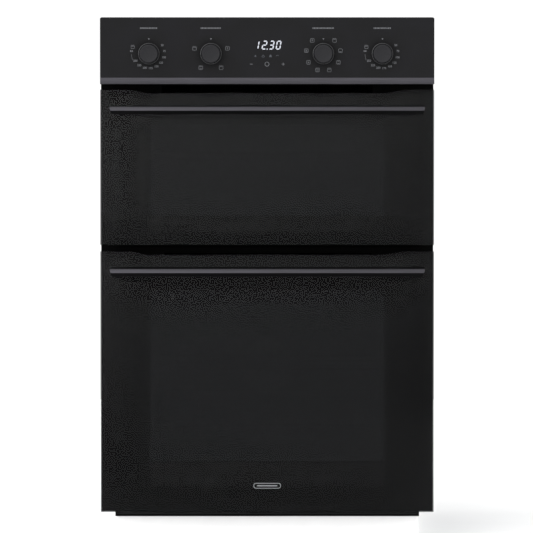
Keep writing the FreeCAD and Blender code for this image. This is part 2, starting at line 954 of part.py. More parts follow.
def fillet_solid(name, base, radius):
    """A round piece with its front rim rounded."""
    DOCUMENT.recompute()
    item = DOCUMENT.addObject("Part::Fillet", name)
    item.Base = base
    front = min(edge.CenterOfMass.y for edge in base.Shape.Edges)
    rims = [
        (number, radius, radius)
        for number, edge in enumerate(base.Shape.Edges, start=1)
        if abs(edge.CenterOfMass.y - front) < 0.01 and edge.Closed
    ]
    item.Edges = rims
    return item


def temperature_probes():
    """A thin sensor tube through the rear wall of each cavity."""
    probes = []
    for oven in OVENS:
        centre = ("-lamp_x", f"{oven}_roof - lamp_drop")
        span = ("cavity_rear - probe_length", "cavity_rear + probe_tail")
        tube = rod(f"{oven}_probe", "y", "probe_radius", centre, span)
        collar = rod(
            f"{oven}_probe_collar",
            "y",
            "probe_collar",
            centre,
            beyond("cavity_rear + sheet", "motor_plate"),
        )
        probes.append(fuse(f"{oven}_sensor", tube, collar))
    node(together("probes", *probes), "temperature_probes")


def grill_elements():
    """A heater under each roof, bent to and fro, with two legs out through the rear wall."""
    elements = []
    for oven in OVENS:
        z = f"{oven}_roof - grill_drop"
        near_end = "frame_back + grill_front"
        far_end = "baffle_face - grill_rear"
        left_run = [
            ("-leg_x", "leg_end"),
            ("-leg_x", near_end),
            ("-leg_x * 5 / 8", near_end),
            ("-leg_x * 5 / 8", far_end),
            ("-leg_x / 4", far_end),
            ("-leg_x / 4", near_end),
        ]
        loop = [*left_run, *((f"-({x})", y) for x, y in reversed(left_run))]
        points = [wire_point(x, y, z) for x, y in loop]
        pieces = wire_pieces(points, value("element_radius"), value("heater_bend"))
        elements.append(welded(f"{oven}_grill", pieces))
    node(together("grills", *elements), "grill_elements")


def base_elements():
    """A heater loop under each cavity's floor."""
    elements = []
    for oven in OVENS:
        z = f"{oven}_floor - sheet - element_radius - base_gap"
        corners = [
            ("-base_leg", "leg_end"),
            ("-base_leg", "cavity_rear - base_rear"),
            ("-base_half", "cavity_rear - base_rear"),
            ("-base_half", "frame_back + base_front"),
        ]
        loop = [*corners, *((f"-({x})", y) for x, y in reversed(corners))]
        points = [wire_point(x, y, z) for x, y in loop]
        pieces = wire_pieces(points, value("element_radius"), value("heater_bend"))
        elements.append(welded(f"{oven}_base_heater", pieces))
    node(together("base_heaters", *elements), "base_elements")


def level_height(oven, level):
    """The middle of the lower wire of a guide's loop."""
    return f"{oven}_floor + {oven}_first_level + {level} * guide_pitch"


def rest_height(oven, level):
    """The underside of what rests on a guide."""
    return f"{level_height(oven, level)} + guide_slot + guide_wire + shelf_rest"


def shelf_guides():
    """On each side wall of each cavity: a wire loop per level, welded to two posts."""
    guides = []
    radius = value("guide_wire")
    for oven in OVENS:
        for side, sign in SIDES.items():
            pieces = []
            x = f"{sign} * guide_x"
            near_end = "shelf_near"
            far_end = "shelf_far"
            for level in range(GUIDE_LEVELS[oven]):
                low = level_height(oven, level)
                high = f"{low} + guide_slot"
                ends = [(far_end, low), (near_end, low), (near_end, high), (far_end, high)]
                points = [wire_point(x, y, z) for y, z in ends]
                pieces += wire_pieces(points, radius, value("guide_slot / 2") - 0.01)
            stay_x = f"{sign} * (guide_x + guide_wire * 1.75)"
            for y in (f"{near_end} + guide_ends", f"{far_end} - guide_ends"):
                last = GUIDE_LEVELS[oven] - 1
                foot = level_height(oven, 0)
                head = level_height(oven, last)
                start = wire_point(stay_x, y, f"{foot} - post_overhang")
                end = wire_point(stay_x, y, f"{head} + guide_slot + post_top")
                pieces.append(Part.makeCylinder(radius, (end - start).Length, start, Vector(0, 0, 1)))
                for z in (f"{foot} - stay_foot", f"{head} + guide_slot + stay_head"):
                    inner = wire_point(stay_x, y, z)
                    outer = wire_point(f"{sign} * cavity_half", y, z)
                    stay = outer - inner
                    pieces.append(Part.makeCylinder(radius, stay.Length, inner, stay))
            guides.append(welded(f"{oven}_{side}_guide", pieces))
    node(together("guides", *guides), "shelf_guides")


# ---------------------------------------------------------------- shelves and tray


def wire_shelf(oven, level):
    """A chromed wire rack: a rim of thick wire, two cross bars and many thin bars."""
    rim = value("shelf_wire")
    thin = value("bar_wire")
    z = f"{rest_height(oven, level)} + shelf_wire"
    x = "(shelf_half - shelf_wire)"
    corners = [
        (f"-{x}", "shelf_near"),
        (x, "shelf_near"),
        (x, "shelf_far"),
        (f"-{x}", "shelf_far"),
    ]
    points = [wire_point(across, along_y, z) for across, along_y in corners]
    pieces = wire_pieces(points, rim, value("shelf_corner"), closed=True)
    span = value(x) * 2
    step = span / (SHELF_BARS + 1)
    front = value("shelf_near")
    rear = value("shelf_far")
    height = value(z)
    for number in range(1, SHELF_BARS + 1):
        start = Vector(-span / 2 + number * step, front, height)
        pieces.append(Part.makeCylinder(thin, rear - front, start, Vector(0, 1, 0)))
    for share in (1 / 3, 2 / 3):
        start = Vector(-span / 2, front + share * (rear - front), height - thin)
        pieces.append(Part.makeCylinder(thin, span, start, Vector(1, 0, 0)))
    node(welded(f"{oven}_rack", pieces), f"{oven}_wire_shelf")


def baking_tray():
    """A deep enamelled tray whose rim rides on a pair of guides."""
    rim_z = rest_height("lower", TRAY_LEVEL)
    tubs = {}
    for skin, wall in (("outside", "0"), ("inside", "sheet")):
        x = f"(shelf_half - tray_rim - {wall})"
        y = (f"shelf_near + tray_rim + {wall}", f"shelf_far - tray_rim - {wall}")
        z = (f"{rim_z} - tray_depth + {wall}", f"{rim_z} + 3 * {wall} / 2")

        def tub_edge(mark, x=x, y=y, z=z):
            """The upright corners of the tub and the edges of its floor."""
            side = near(abs(mark.x), x)
            end = near(mark.y, y[0]) or near(mark.y, y[1])
            return (side and end) or (near(mark.z, z[0]) and (side or end))

        radius = f"shelf_corner - {wall}"
        tubs[skin] = rounded_block(f"tray_{skin}", either_way(x), y, z, tub_edge, radius)

    def rim_corner(mark):
        end = near(mark.y, "shelf_near") or near(mark.y, "shelf_far")
        return near(abs(mark.x), "shelf_half") and end

    rim = rounded_block(
        "tray_rim",
        either_way("shelf_half"),
        ("shelf_near", "shelf_far"),
        beyond(rim_z, "sheet"),
        rim_corner,
        "shelf_corner",
    )
    node(cut("tray", fuse("tray_body", tubs["outside"], rim), tubs["inside"]), "baking_tray")


# ---------------------------------------------------------------- fan oven


def ring_element():
    """A round heater about the fan, with two legs out through the rear wall."""
    middle = wire_point("0", "cavity_rear - ring_space", "fan_z")
    pieces = ring_pieces(middle, value("ring_radius"), value("element_radius"))
    node(welded("ring_heater", pieces), "ring_element")


def ring_pieces(middle, ring, radius):
    """The ring, and two legs that leave its top towards the rear."""
    pieces = [Part.makeTorus(ring, radius, middle, Vector(0, 1, 0))]
    rear = value("leg_end")
    for sign in SIDES.values():
        start = middle + Vector(value(f"{sign} * ring_leg_spread"), -radius, ring)
        pieces.append(Part.makeCylinder(radius, rear - start.y, start, Vector(0, 1, 0)))
    return pieces


def fan_baffle():
    """The rear cover of the fan chamber: a shallow pan with an intake grille and side slots."""
    body = new_body("baffle")
    outline = sketch_at(body, "XZ", "baffle_face")
    half = "baffle_half"
    span = ("lower_floor + baffle_margin", "lower_roof - baffle_margin")
    add_rectangle(outline, either_way(half), span)
    pad(body, outline, "baffle_space")
    hollow = sketch_at(body, "XZ", "baffle_face + sheet")
    inner_span = (f"{span[0]} + sheet", f"{span[1]} - sheet")
    add_rectangle(hollow, either_way(f"{half} - sheet"), inner_span)
    pocket(body, hollow, "baffle_space")
    grille = sketch_at(body, "XZ", "baffle_face - 1")
    add_circle(grille, "0", "fan_z", "grille_hole")
    for radius in INTAKE_RINGS:
        count = round(math.tau * radius / value("grille_pitch"))
        for number in range(count):
            turn = math.tau * number / count
            across = radius * math.sin(turn)
            up = radius * math.cos(turn)
            add_circle(grille, f"{across:.3f}", f"fan_z + {up:.3f}", "grille_hole")
    for sign in SIDES.values():
        inner = f"{sign} * ({half} - side_vent_near)"
        outer = f"{sign} * ({half} - side_vent_far)"
        across = (inner, outer) if sign == "1" else (outer, inner)
        for step in (-2, -1, 0, 1, 2):
            middle = f"fan_z + {step} * side_vent_pitch"
            up = (f"{middle} - side_vent_half", f"{middle} + side_vent_half")
            add_rectangle(grille, across, up)
    pocket(body, grille, "sheet + 2")
    node(body, "fan_baffle")


def convection_fan():
    """Fan wheel and shaft: a disc with a hub and radial blades."""
    body = new_body("fan")
    bind(body, Placement__Base__z="fan_z")
    disc = sketch_at(body, "XZ", "fan_plane")
    add_circle(disc, "0", "0", "fan_radius")
    pad(body, disc, "fan_disc")
    hub = sketch_at(body, "XZ", "fan_plane - fan_height")
    add_circle(hub, "0", "0", "fan_hub")
    pad(body, hub, "fan_height")
    shaft = sketch_at(body, "XZ", "fan_plane")
    add_circle(shaft, "0", "0", "fan_shaft")
    pad(body, shaft, "fan_shaft_length")
    blade = sketch_at(body, "XZ", "fan_plane - fan_height")
    add_rectangle(blade, either_way("blade_half"), ("fan_hub - 1", "fan_radius - 1"))
    fin = pad(body, blade, "fan_height")
    around(body, fin, "Y_Axis", FAN_BLADES)
    node(body, "convection_fan")


def fan_motor():
    """The fan's motor, bolted outside the rear wall by a square plate."""
    centre = ("0", "fan_z")
    face = "cavity_rear + sheet"
    plate = box(
        "motor_plate",
        either_way("motor_half"),
        beyond(face, "motor_plate"),
        ("fan_z - motor_half", "fan_z + motor_half"),
    )
    case = rod("motor_case", "y", "motor_radius", centre, (face, "cavity_rear + motor_length"))
    tail_span = beyond("cavity_rear + motor_length", "motor_tail")
    tail = rod("motor_tail", "y", "motor_tail_radius", centre, tail_span)
    bore_span = beyond("cavity_rear", "fan_shaft_length - 2")
    bore = rod("motor_bore", "y", "fan_shaft + bore_gap", centre, bore_span)
    node(cut("motor", fuse("motor_body", plate, case, tail), bore), "fan_motor")


def air_duct(label, floor, inlet):
    """A flat sheet duct that blows out over a door; inlet adds the blower's round mouth."""
    y = ("frame_back", "duct_rear")
    z = (floor, f"{floor} + duct_height")
    outside = box(f"{label}_outside", either_way("duct_half_width"), y, z)
    inside = box(
        f"{label}_inside",
        either_way("duct_half_width - sheet"),
        ("frame_back - 1", "duct_rear - sheet"),
        (f"{floor} + sheet", f"{floor} + duct_height - sheet"),
    )
    tools = [inside]
    if inlet:
        span = (f"{floor} + duct_height - 2 * sheet", f"{floor} + duct_height + 1")
        radius = "impeller_radius - inlet_margin"
        tools.append(rod(f"{label}_inlet", "z", radius, ("0", "impeller_y"), span))
    node(cut(f"{label}_sheet", outside, *tools), label)


def blower_impeller():
    """The cooling blower's wheel: a disc, a hub and a ring of blades, with its shaft."""
    body = new_body("wheel")
    bind(body, Placement__Base__y="impeller_y")
    low = "duct_floor + sheet + wheel_gap"
    disc = sketch_at(body, "XY", low)
    add_circle(disc, "0", "0", "impeller_radius")
    pad(body, disc, "wheel_disc")
    hub = sketch_at(body, "XY", low)
    add_circle(hub, "0", "0", "wheel_hub")
    pad(body, hub, "impeller_height")
    shaft = sketch_at(body, "XY", f"{low} + impeller_height")
    add_circle(shaft, "0", "0", "wheel_shaft")
    pad(body, shaft, "wheel_shaft_length")
    blade = sketch_at(body, "XY", low)
    blade_span = ("impeller_radius - 1 - wheel_blade", "impeller_radius - 1")
    add_rectangle(blade, either_way("blade_half"), blade_span)
    fin = pad(body, blade, "impeller_height")
    around(body, fin, "Z_Axis", IMPELLER_BLADES)
    node(body, "blower_impeller")


def blower_motor():
    """The blower's motor over the duct's inlet, on a bridge that spans it."""
    centre = ("0", "impeller_y")
    low = "duct_floor + duct_height"
    bridge = box(
        "bridge",
        either_way("impeller_radius + wheel_hub"),
        ("impeller_y - bridge_half", "impeller_y + bridge_half"),
        beyond(low, "bridge_height"),
    )
    case_span = beyond(f"{low} + bridge_height", "blower_height")
    case = rod("blower_case", "z", "blower_radius", centre, case_span)
    bore_span = (f"{low} - 1", f"{low} + wheel_shaft_length")
    bore = rod("blower_bore", "z", "wheel_shaft + bore_gap", centre, bore_span)
    node(cut("blower", fuse("blower_body", bridge, case), bore), "blower_motor")


# ---------------------------------------------------------------- controls

KNOBS = {
    "upper_temperature": "-left_knob_offset",
    "upper_function": "-inner_knob_offset",
    "lower_function": "inner_knob_offset",
    "lower_temperature": "right_knob_offset",
}


def control_fascia():
    """The glass-faced panel: a shallow shell with rounded top corners and a rolled top edge."""
    body = new_body("fascia")
    outline = sketch_at(body, "XZ", "front")
    add_rectangle(outline, either_way("half_width"), ("strip_top", "overall_height"))
    block = pad(body, outline, "frame_setback")

    def top_corner(mark):
        return near(abs(mark.x), "half_width") and near(mark.z, "overall_height")

    cornered = fillet(body, block, top_corner, "corner_radius")

    def top_front(mark):
        return near(mark.y, "front") and mark.z > value("overall_height - corner_radius") + 0.1

    rolled = fillet(body, cornered, top_front, "corner_radius * 0.8")
    hollow = sketch_at(body, "XZ", "front + fascia_glass")
    add_rectangle(
        hollow,
        either_way("half_width - fascia_wall"),
        ("strip_top + fascia_wall", "overall_height - fascia_wall"),
    )
    pocket(body, hollow, "frame_setback")
    holes = sketch_at(body, "XZ", "front - 1")
    for x in KNOBS.values():
        add_circle(holes, x, "knob_z", "bush_radius")
    pocket(body, holes, "fascia_glass + 2")
    node(body, "control_fascia")


def fascia_strip():
    """The brushed aluminium channel under the fascia."""
    body = new_body("strip")
    outline = sketch_at(body, "XZ", "front")
    add_rectangle(outline, either_way("half_width"), ("strip_bottom", "strip_top"))
    pad(body, outline, "frame_setback")
    hollow = sketch_at(body, "XZ", "front + 2")
    add_rectangle(hollow, either_way("half_width - 2"), ("strip_bottom + 2", "strip_top - 2"))
    pocket(body, hollow, "frame_setback")
    node(body, "fascia_strip")


def fascia_carrier():
    """The steel tray behind the fascia that holds the switches and the timer."""
    half = "(body_half - carrier_margin)"
    z = ("strip_top + fascia_wall + carrier_foot", "body_top - carrier_drop")
    outside = box("carrier_outside", either_way(half), ("carrier_face", "frame_face"), z)
    inside = box(
        "carrier_inside",
        either_way(f"{half} - sheet"),
        ("carrier_face + sheet", "frame_face + 1"),
        (f"{z[0]} + sheet", f"{z[1]} - sheet"),
    )
    radius = "spindle_radius + carrier_hole_gap"
    span = ("carrier_face - 1", "carrier_face + sheet + 1")
    holes = [
        rod(f"{name}_carrier_hole", "y", radius, (x, "knob_z"), span)
        for name, x in KNOBS.items()
    ]
    node(cut("carrier", outside, inside, *holes), "fascia_carrier")


def timer_module():
    """The clock and its touch sensors: a case with the display block on its face."""
    face = "front + fascia_glass + timer_gap"
    case = box(
        "timer_case",
        either_way("timer_half"),
        ("front + fascia_glass + timer_face_depth", "carrier_face - timer_gap"),
        ("strip_top + timer_foot", "body_top - timer_drop"),
    )
    display = box(
        "timer_display",
        ("-display_left", "display_right"),
        beyond(face, "timer_face_depth"),
        ("knob_z + display_foot", "knob_z + display_head"),
    )
    sensors = box(
        "timer_sensors",
        either_way("sensor_half"),
        beyond(face, "timer_face_depth"),
        ("knob_z - sensor_foot", "knob_z - sensor_head"),
    )
    node(fuse("timer", case, display, sensors), "timer_module")


def switches():
    """Behind the carrier: a round selector per function knob, a boxed thermostat per other knob."""
    kinds = {"function": [], "temperature": []}
    for name, x in KNOBS.items():
        oven, kind = name.split("_")
        y = beyond("carrier_face + sheet", "switch_depth")
        if kind == "function":
            case = rod(f"{name}_case", "y", "switch_half", (x, "knob_z"), y)
        else:
            across = (f"{x} - switch_half", f"{x} + switch_half")
            case = box(f"{name}_case", across, y, ("knob_z - switch_half", "knob_z + switch_half"))
        bore = rod(
            f"{name}_bore",
            "y",
            "spindle_radius + spindle_clearance",
            (x, "knob_z"),
            beyond("carrier_face", "knob_depth + 4"),
        )
        kinds[kind].append(cut(f"{name}_switch", case, bore))
    node(together("selectors", *kinds["function"]), "function_selectors")
    node(together("regulators", *kinds["temperature"]), "thermostats")


def knob(name, x):
    """A round knob: a low skirt, a tapered grip and a flat cap, bored for its spindle."""
    body = new_body(f"{name}_grip")
    bind(body, Placement__Base__x=x, Placement__Base__z="knob_z")
    outer = "front - knob_standoff"
    profile = sketch_at(body, "YZ", "0")
    bore = "spindle_radius + spindle_clearance"
    points = [
        (f"{outer} - knob_depth", "0"),
        (f"{outer} - knob_depth", "knob_face_radius"),
        (f"{outer} - knob_depth + knob_chamfer_depth", "knob_face_radius + knob_chamfer"),
        (f"{outer} - knob_slope", "knob_radius - knob_grip_inset"),
        (f"{outer} - knob_skirt", "knob_radius"),
        (outer, "knob_radius"),
        (outer, bore),
        (f"{outer} - knob_bore_depth", bore),
        (f"{outer} - knob_bore_depth", "0"),
    ]
    add_outline(profile, points)
    turned = body.newObject("PartDesign::Revolution", f"{body.Name}_turned")
    turned.Profile = profile
    axis = next(item for item in body.Origin.OriginFeatures if item.Role == "Y_Axis")
    turned.ReferenceAxis = (axis, [""])
    turned.Angle = 360
    node(body, f"{name}_knob")


def spindle(name, x):
    """The steel spindle from the switch into the knob, with a flat at the knob's end."""
    near_end = "front - knob_standoff - knob_bore_depth + spindle_gap"
    far_end = "carrier_face + knob_depth - 1"
    bar = rod(f"{name}_bar", "y", "spindle_radius", (x, "knob_z"), (near_end, far_end))
    flat = box(
        f"{name}_flat",
        (f"{x} - spindle_radius - 1", f"{x} + spindle_radius + 1"),
        (f"{near_end} - 1", "front - knob_standoff - 1"),
        ("knob_z + spindle_radius - spindle_flat", "knob_z + spindle_radius + spindle_flat"),
    )
    node(cut(f"{name}_shaft", bar, flat), f"{name}_spindle")


# ---------------------------------------------------------------- doors


def handle_z(oven):
    return f"{oven}_top - handle_drop"


def outer_glass(oven):
    """The door's front pane: its top edge dips between two raised ends."""
    body = new_body(f"{oven}_front_pane")
    top = f"{oven}_top"
    dip = f"{oven}_top - ear_relief"
    ear = "(half_width - ear_width)"
    ramp = "(half_width - ear_width - ear_ramp)"
    outline = sketch_at(body, "XZ", "front")
    right_side = [
        ("half_width", f"{oven}_bottom"),
        ("half_width", top),
        (ear, top),
        (ramp, dip),
    ]
    left_side = [(f"-({x})", z) for x, z in reversed(right_side)]
    add_outline(outline, right_side + left_side)
    pane = pad(body, outline, "glass")

    def on_ramp(mark):
        upper = near(abs(mark.x), ear) and near(mark.z, top)
        return upper or (near(abs(mark.x), ramp) and near(mark.z, dip))

    shaped = fillet(body, pane, on_ramp, "ear_rounding")

    def outer_corner(mark):
        return near(abs(mark.x), "half_width") and (near(mark.z, top) or near(mark.z, f"{oven}_bottom"))

    fillet(body, shaped, outer_corner, "corner_radius * 0.6")
    holes = sketch_at(body, "XZ", "front - 1")
    for sign in SIDES.values():
        add_circle(holes, f"{sign} * post_x", handle_z(oven), "stud_radius + stud_clearance")
    pocket(body, holes, "glass + 2")
    node(body, f"{oven}_outer_glass")


def inner_panes(oven):
    """The middle and inner panes, held between the door's rails."""
    z = (f"{oven}_axis + pane_foot_gap", f"{oven}_top - rail_drop - rail_height - pane_head_gap")
    middle_y = beyond("front + middle_pane_back", "glass")
    middle = box(f"{oven}_middle_pane", either_way("pane_half"), middle_y, z)
    inner = box(f"{oven}_inner_pane", either_way("pane_half"), ("door_back - glass", "door_back"), z)
    node(together(f"{oven}_panes", middle, inner), f"{oven}_inner_panes")


def door_stiles(oven):
    """The upright channels at the door's sides; the hinge works inside their feet."""
    stiles = []
    for side, sign in SIDES.items():
        x = ("stile_inner", "stile_outer") if sign == "1" else ("-stile_outer", "-stile_inner")
        z = (f"{oven}_axis - stile_foot", f"{oven}_top - rail_drop")
        outside = box(f"{oven}_{side}_stile_outside", x, ("front + glass", "door_back"), z)
        inside = box(
            f"{oven}_{side}_stile_inside",
            (f"{x[0]} + sheet", f"{x[1]} - sheet"),
            ("front + glass - 1", "door_back - sheet"),
            (f"{z[0]} - 1", f"{z[1]} - sheet"),
        )
        slot_half = "(arm_thickness / 2 + arm_clearance)"
        slot = box(
            f"{oven}_{side}_arm_slot",
            (f"{sign} * hinge_x - {slot_half}", f"{sign} * hinge_x + {slot_half}"),
            ("door_back - 2 * sheet", "door_back + 1"),
            (f"{z[0]} - 1", f"{oven}_axis + arm_half_height + arm_clearance + 1"),
        )
        stiles.append(cut(f"{oven}_{side}_stile", outside, inside, slot))
    node(together(f"{oven}_stiles", *stiles), f"{oven}_door_stiles")


def door_rails(oven):
    """The cross pieces between the stiles: a vented channel at the top and a low one at the foot."""
    x = either_way("stile_inner")
    y = ("front + glass", "door_back")
    inner_y = ("front + glass + sheet", "door_back - sheet")
    top = box(
        f"{oven}_top_rail_outside",
        x,
        y,
        (f"{oven}_top - rail_drop - rail_height", f"{oven}_top - rail_drop"),
    )
    hollow = box(
        f"{oven}_top_rail_inside",
        either_way("stile_inner + 1"),
        inner_y,
        (f"{oven}_top - rail_drop - rail_height - 1", f"{oven}_top - rail_drop - sheet"),
    )
    vents = []
    for number in range(DOOR_VENTS):
        middle = f"({number} - {(DOOR_VENTS - 1) / 2}) * stile_inner / 5"
        vents.append(
            box(
                f"{oven}_vent_{number}",
                (f"{middle} - vent_half_width", f"{middle} + vent_half_width"),
                beyond("front + glass + vent_back", "vent_depth"),
                (f"{oven}_top - rail_drop - 2 * sheet", f"{oven}_top - rail_drop + 1"),
            )
        )
    top_rail = cut(f"{oven}_top_rail", top, hollow, *vents)
    foot = box(
        f"{oven}_foot_outside",
        x,
        (y[0], "door_back - foot_relief"),
        (f"{oven}_axis - stile_foot", f"{oven}_axis + 1"),
    )
    foot_hollow = box(
        f"{oven}_foot_inside",
        either_way("stile_inner + 1"),
        (inner_y[0], "door_back - foot_relief - sheet"),
        (f"{oven}_axis - stile_foot - 1", f"{oven}_axis + 1 - sheet"),
    )
    foot_rail = cut(f"{oven}_foot_rail", foot, foot_hollow)
    node(together(f"{oven}_rails", top_rail, foot_rail), f"{oven}_door_rails")


def handle_bar(oven):
    """The handle: a five-sided bar with a ridge along its front, its ends cut on a slant."""
    body = new_body(f"{oven}_grab_bar")
    half = "handle_half"
    section = sketch_at(body, "YZ", f"-{half}")
    z = handle_z(oven)
    nose = "front - handle_projection"
    up = "handle_height / 2"
    add_outline(
        section,
        [
            (nose, z),
            (f"{nose} + handle_facet", f"{z} + {up}"),
            (f"{nose} + handle_thickness", f"{z} + {up}"),
            (f"{nose} + handle_thickness", f"{z} - {up}"),
            (f"{nose} + handle_facet", f"{z} - {up}"),
        ],
    )
    bar = pad(body, section, f"2 * {half}")

    def long_edge(mark):
        """The front corners of the section, all along the bar."""
        return mark.y < value(f"{nose} + handle_thickness") - 0.01 and not near(mark.z, z)

    names = [
        name
        for name in edges_where(bar, long_edge)
        if bar.Shape.getElement(name).Length > value("handle_half")
    ]
    rounded = body.newObject("PartDesign::Fillet", f"{body.Name}_rounded")
    rounded.Base = (bar, names)
    bind(rounded, Radius="handle_rounding")
    ends = sketch_at(body, "XZ", f"{nose} - 1")
    for sign in SIDES.values():
        add_outline(
            ends,
            [
                (f"{sign} * ({half} + 1)", f"{z} + {up} + 0.01"),
                (f"{sign} * {half}", f"{z} + {up} + 0.01"),
                (f"{sign} * ({half} - handle_end_slant)", f"{z} - {up} - 0.01"),
                (f"{sign} * ({half} + 1)", f"{z} - {up} - 0.01"),
            ],
        )
    pocket(body, ends, "handle_thickness + 2")
    node(body, f"{oven}_handle_bar")


def handle_posts(oven):
    """A post behind each end of the handle, with a stud through the glass."""
    posts = []
    for side, sign in SIDES.items():
        z = handle_z(oven)
        x = f"{sign} * post_x"
        block = box(
            f"{oven}_{side}_post",
            (f"{x} - post_width / 2", f"{x} + post_width / 2"),
            ("front - handle_projection + handle_thickness", "front"),
            (f"{z} - post_height / 2", f"{z} + post_height / 2"),
        )
        stud = rod(
            f"{oven}_{side}_stud",
            "y",
            "stud_radius",
            (x, z),
            ("front - 1", "front + glass + stud_reach"),
        )
        posts.append(fuse(f"{oven}_{side}_stand", block, stud))
    node(together(f"{oven}_posts", *posts), f"{oven}_handle_posts")


def hinge_housings(oven):
    """In each stile's foot: a forked block that turns on the hinge pin."""
    housings = []
    for side, sign in SIDES.items():
        x = f"{sign} * hinge_x"
        cheek = "(arm_thickness / 2 + arm_clearance * 0.5)"
        outside = box(
            f"{oven}_{side}_fork_outside",
            (f"{x} - {cheek} - fork_wall", f"{x} + {cheek} + fork_wall"),
            ("front + glass + fork_front_gap", "door_back - sheet - wool_gap"),
            (f"{oven}_axis - stile_foot + 1", f"{oven}_axis + fork_height"),
        )
        groove = box(
            f"{oven}_{side}_fork_groove",
            (f"{x} - {cheek}", f"{x} + {cheek}"),
            ("hinge_y - arm_half_height - arm_clearance", "door_back"),
            (f"{oven}_axis - stile_foot - 1", f"{oven}_axis + arm_half_height + arm_clearance + 1"),
        )
        bore = rod(
            f"{oven}_{side}_fork_bore",
            "x",
            "pin_radius + pin_clearance",
            ("hinge_y", f"{oven}_axis"),
            (f"{x} - 20", f"{x} + 20"),
        )
        housings.append(cut(f"{oven}_{side}_fork", outside, groove, bore))
    node(together(f"{oven}_forks", *housings), f"{oven}_hinge_housings")


def hinge_hardware():
    """Fixed to the body at each lower door corner: an arm, its pin and the cassette behind it."""
    arms = []
    pins = []
    cassettes = []
    for oven in OVENS:
        for side, sign in SIDES.items():
            stem = f"{oven}_{side}"
            x = f"{sign} * hinge_x"
            z = f"{oven}_axis"
            half = "arm_thickness / 2"
            bar = box(
                f"{stem}_arm_bar",
                (f"{x} - {half}", f"{x} + {half}"),
                ("hinge_y", "hinge_y + arm_length"),
                (f"{z} - arm_half_height", f"{z} + arm_half_height"),
            )
            eye = rod(
                f"{stem}_arm_eye",
                "x",
                "arm_half_height",
                ("hinge_y", z),
                (f"{x} - {half}", f"{x} + {half}"),
            )
            hole = rod(f"{stem}_arm_hole", "x", "pin_radius", ("hinge_y", z), (f"{x} - 9", f"{x} + 9"))
            arms.append(cut(f"{stem}_arm", fuse(f"{stem}_arm_body", bar, eye), hole))
            cheek = "(arm_thickness / 2 + arm_clearance * 0.5)"
            span = (f"{x} - {cheek} - fork_wall", f"{x} + {cheek} + fork_wall")
            pins.append(rod(f"{stem}_pin", "x", "pin_radius", ("hinge_y", z), span))
            case = box(
                f"{stem}_cassette_outside",
                (f"{x} - cassette_half", f"{x} + cassette_half"),
                ("frame_back", "frame_back + cassette_depth"),
                (f"{z} - cassette_half", f"{z} + cassette_rise"),
            )
            room = box(
                f"{stem}_cassette_inside",
                (f"{x} - cassette_half + sheet", f"{x} + cassette_half - sheet"),
                ("frame_back - 1", "frame_back + cassette_depth - sheet"),
                (f"{z} - cassette_half + sheet", f"{z} + cassette_rise - sheet"),
            )
            cassettes.append(cut(f"{stem}_cassette", case, room))
    node(together("arms", *arms), "hinge_arms")
    node(together("pins", *pins), "hinge_pins")
    node(together("cassettes", *cassettes), "hinge_cassettes")


# ---------------------------------------------------------------- build, check and write


def build_everything():
    fill_sheet()
    base_pan()
    side_panels()
    top_cover()
    rear_panel()
    front_frame()
    trim_lips()
    casing_screws()
    terminal_block()
    for oven in OVENS:
        cavity(oven)
    cavity_insulation()
    door_gaskets()
    lamps()
    temperature_probes()
    grill_elements()
    base_elements()
    shelf_guides()
    wire_shelf("upper", UPPER_SHELF_LEVEL)
    wire_shelf("lower", LOWER_SHELF_LEVEL)
    baking_tray()
    ring_element()
    fan_baffle()
    convection_fan()
    fan_motor()
    air_duct("top_air_duct", "duct_floor", inlet=True)
    air_duct("middle_air_duct", "middle_duct_floor", inlet=False)
    blower_impeller()
    blower_motor()
    control_fascia()
    fascia_strip()
    fascia_carrier()
    timer_module()
    switches()
    for name, x in KNOBS.items():
        knob(name, x)
        spindle(name, x)
    for oven in OVENS:
        outer_glass(oven)
        inner_panes(oven)
        door_stiles(oven)
        door_rails(oven)
        handle_bar(oven)
        handle_posts(oven)
        hinge_housings(oven)
    hinge_hardware()
    DOCUMENT.recompute()


def faults():
    """What is wrong with the document, in words; empty when all is well."""
    found = []
    for item in DOCUMENT.Objects:
        if {"Invalid", "Error"} & set(item.State):
            found.append(f"{item.Name} is {item.State}")
    for item in NODES:
        shape = item.Shape
        if shape.isNull() or not shape.isValid() or not shape.Solids:
            found.append(f"{item.Label} has no valid solid")
    return found


def main():
    build_everything()
    problems = faults()
    if problems:
        sys.exit("\n".join(problems))
    os.makedirs("parts", exist_ok=True)
    for item in NODES:
        item.Shape.exportStep(f"parts/{item.Label}.step")
    print(f"{len(NODES)} sub-parts written")


main()
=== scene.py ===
"""A built-in double wall oven: two drop-down black glass doors under a control fascia.

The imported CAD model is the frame. Each sub-assembly below is a class that holds its sizes and
builds its own surfaces on that frame. Sizes are millimetres, and meshes are metres.
"""

import logging
import math
from dataclasses import dataclass, field
from enum import Enum

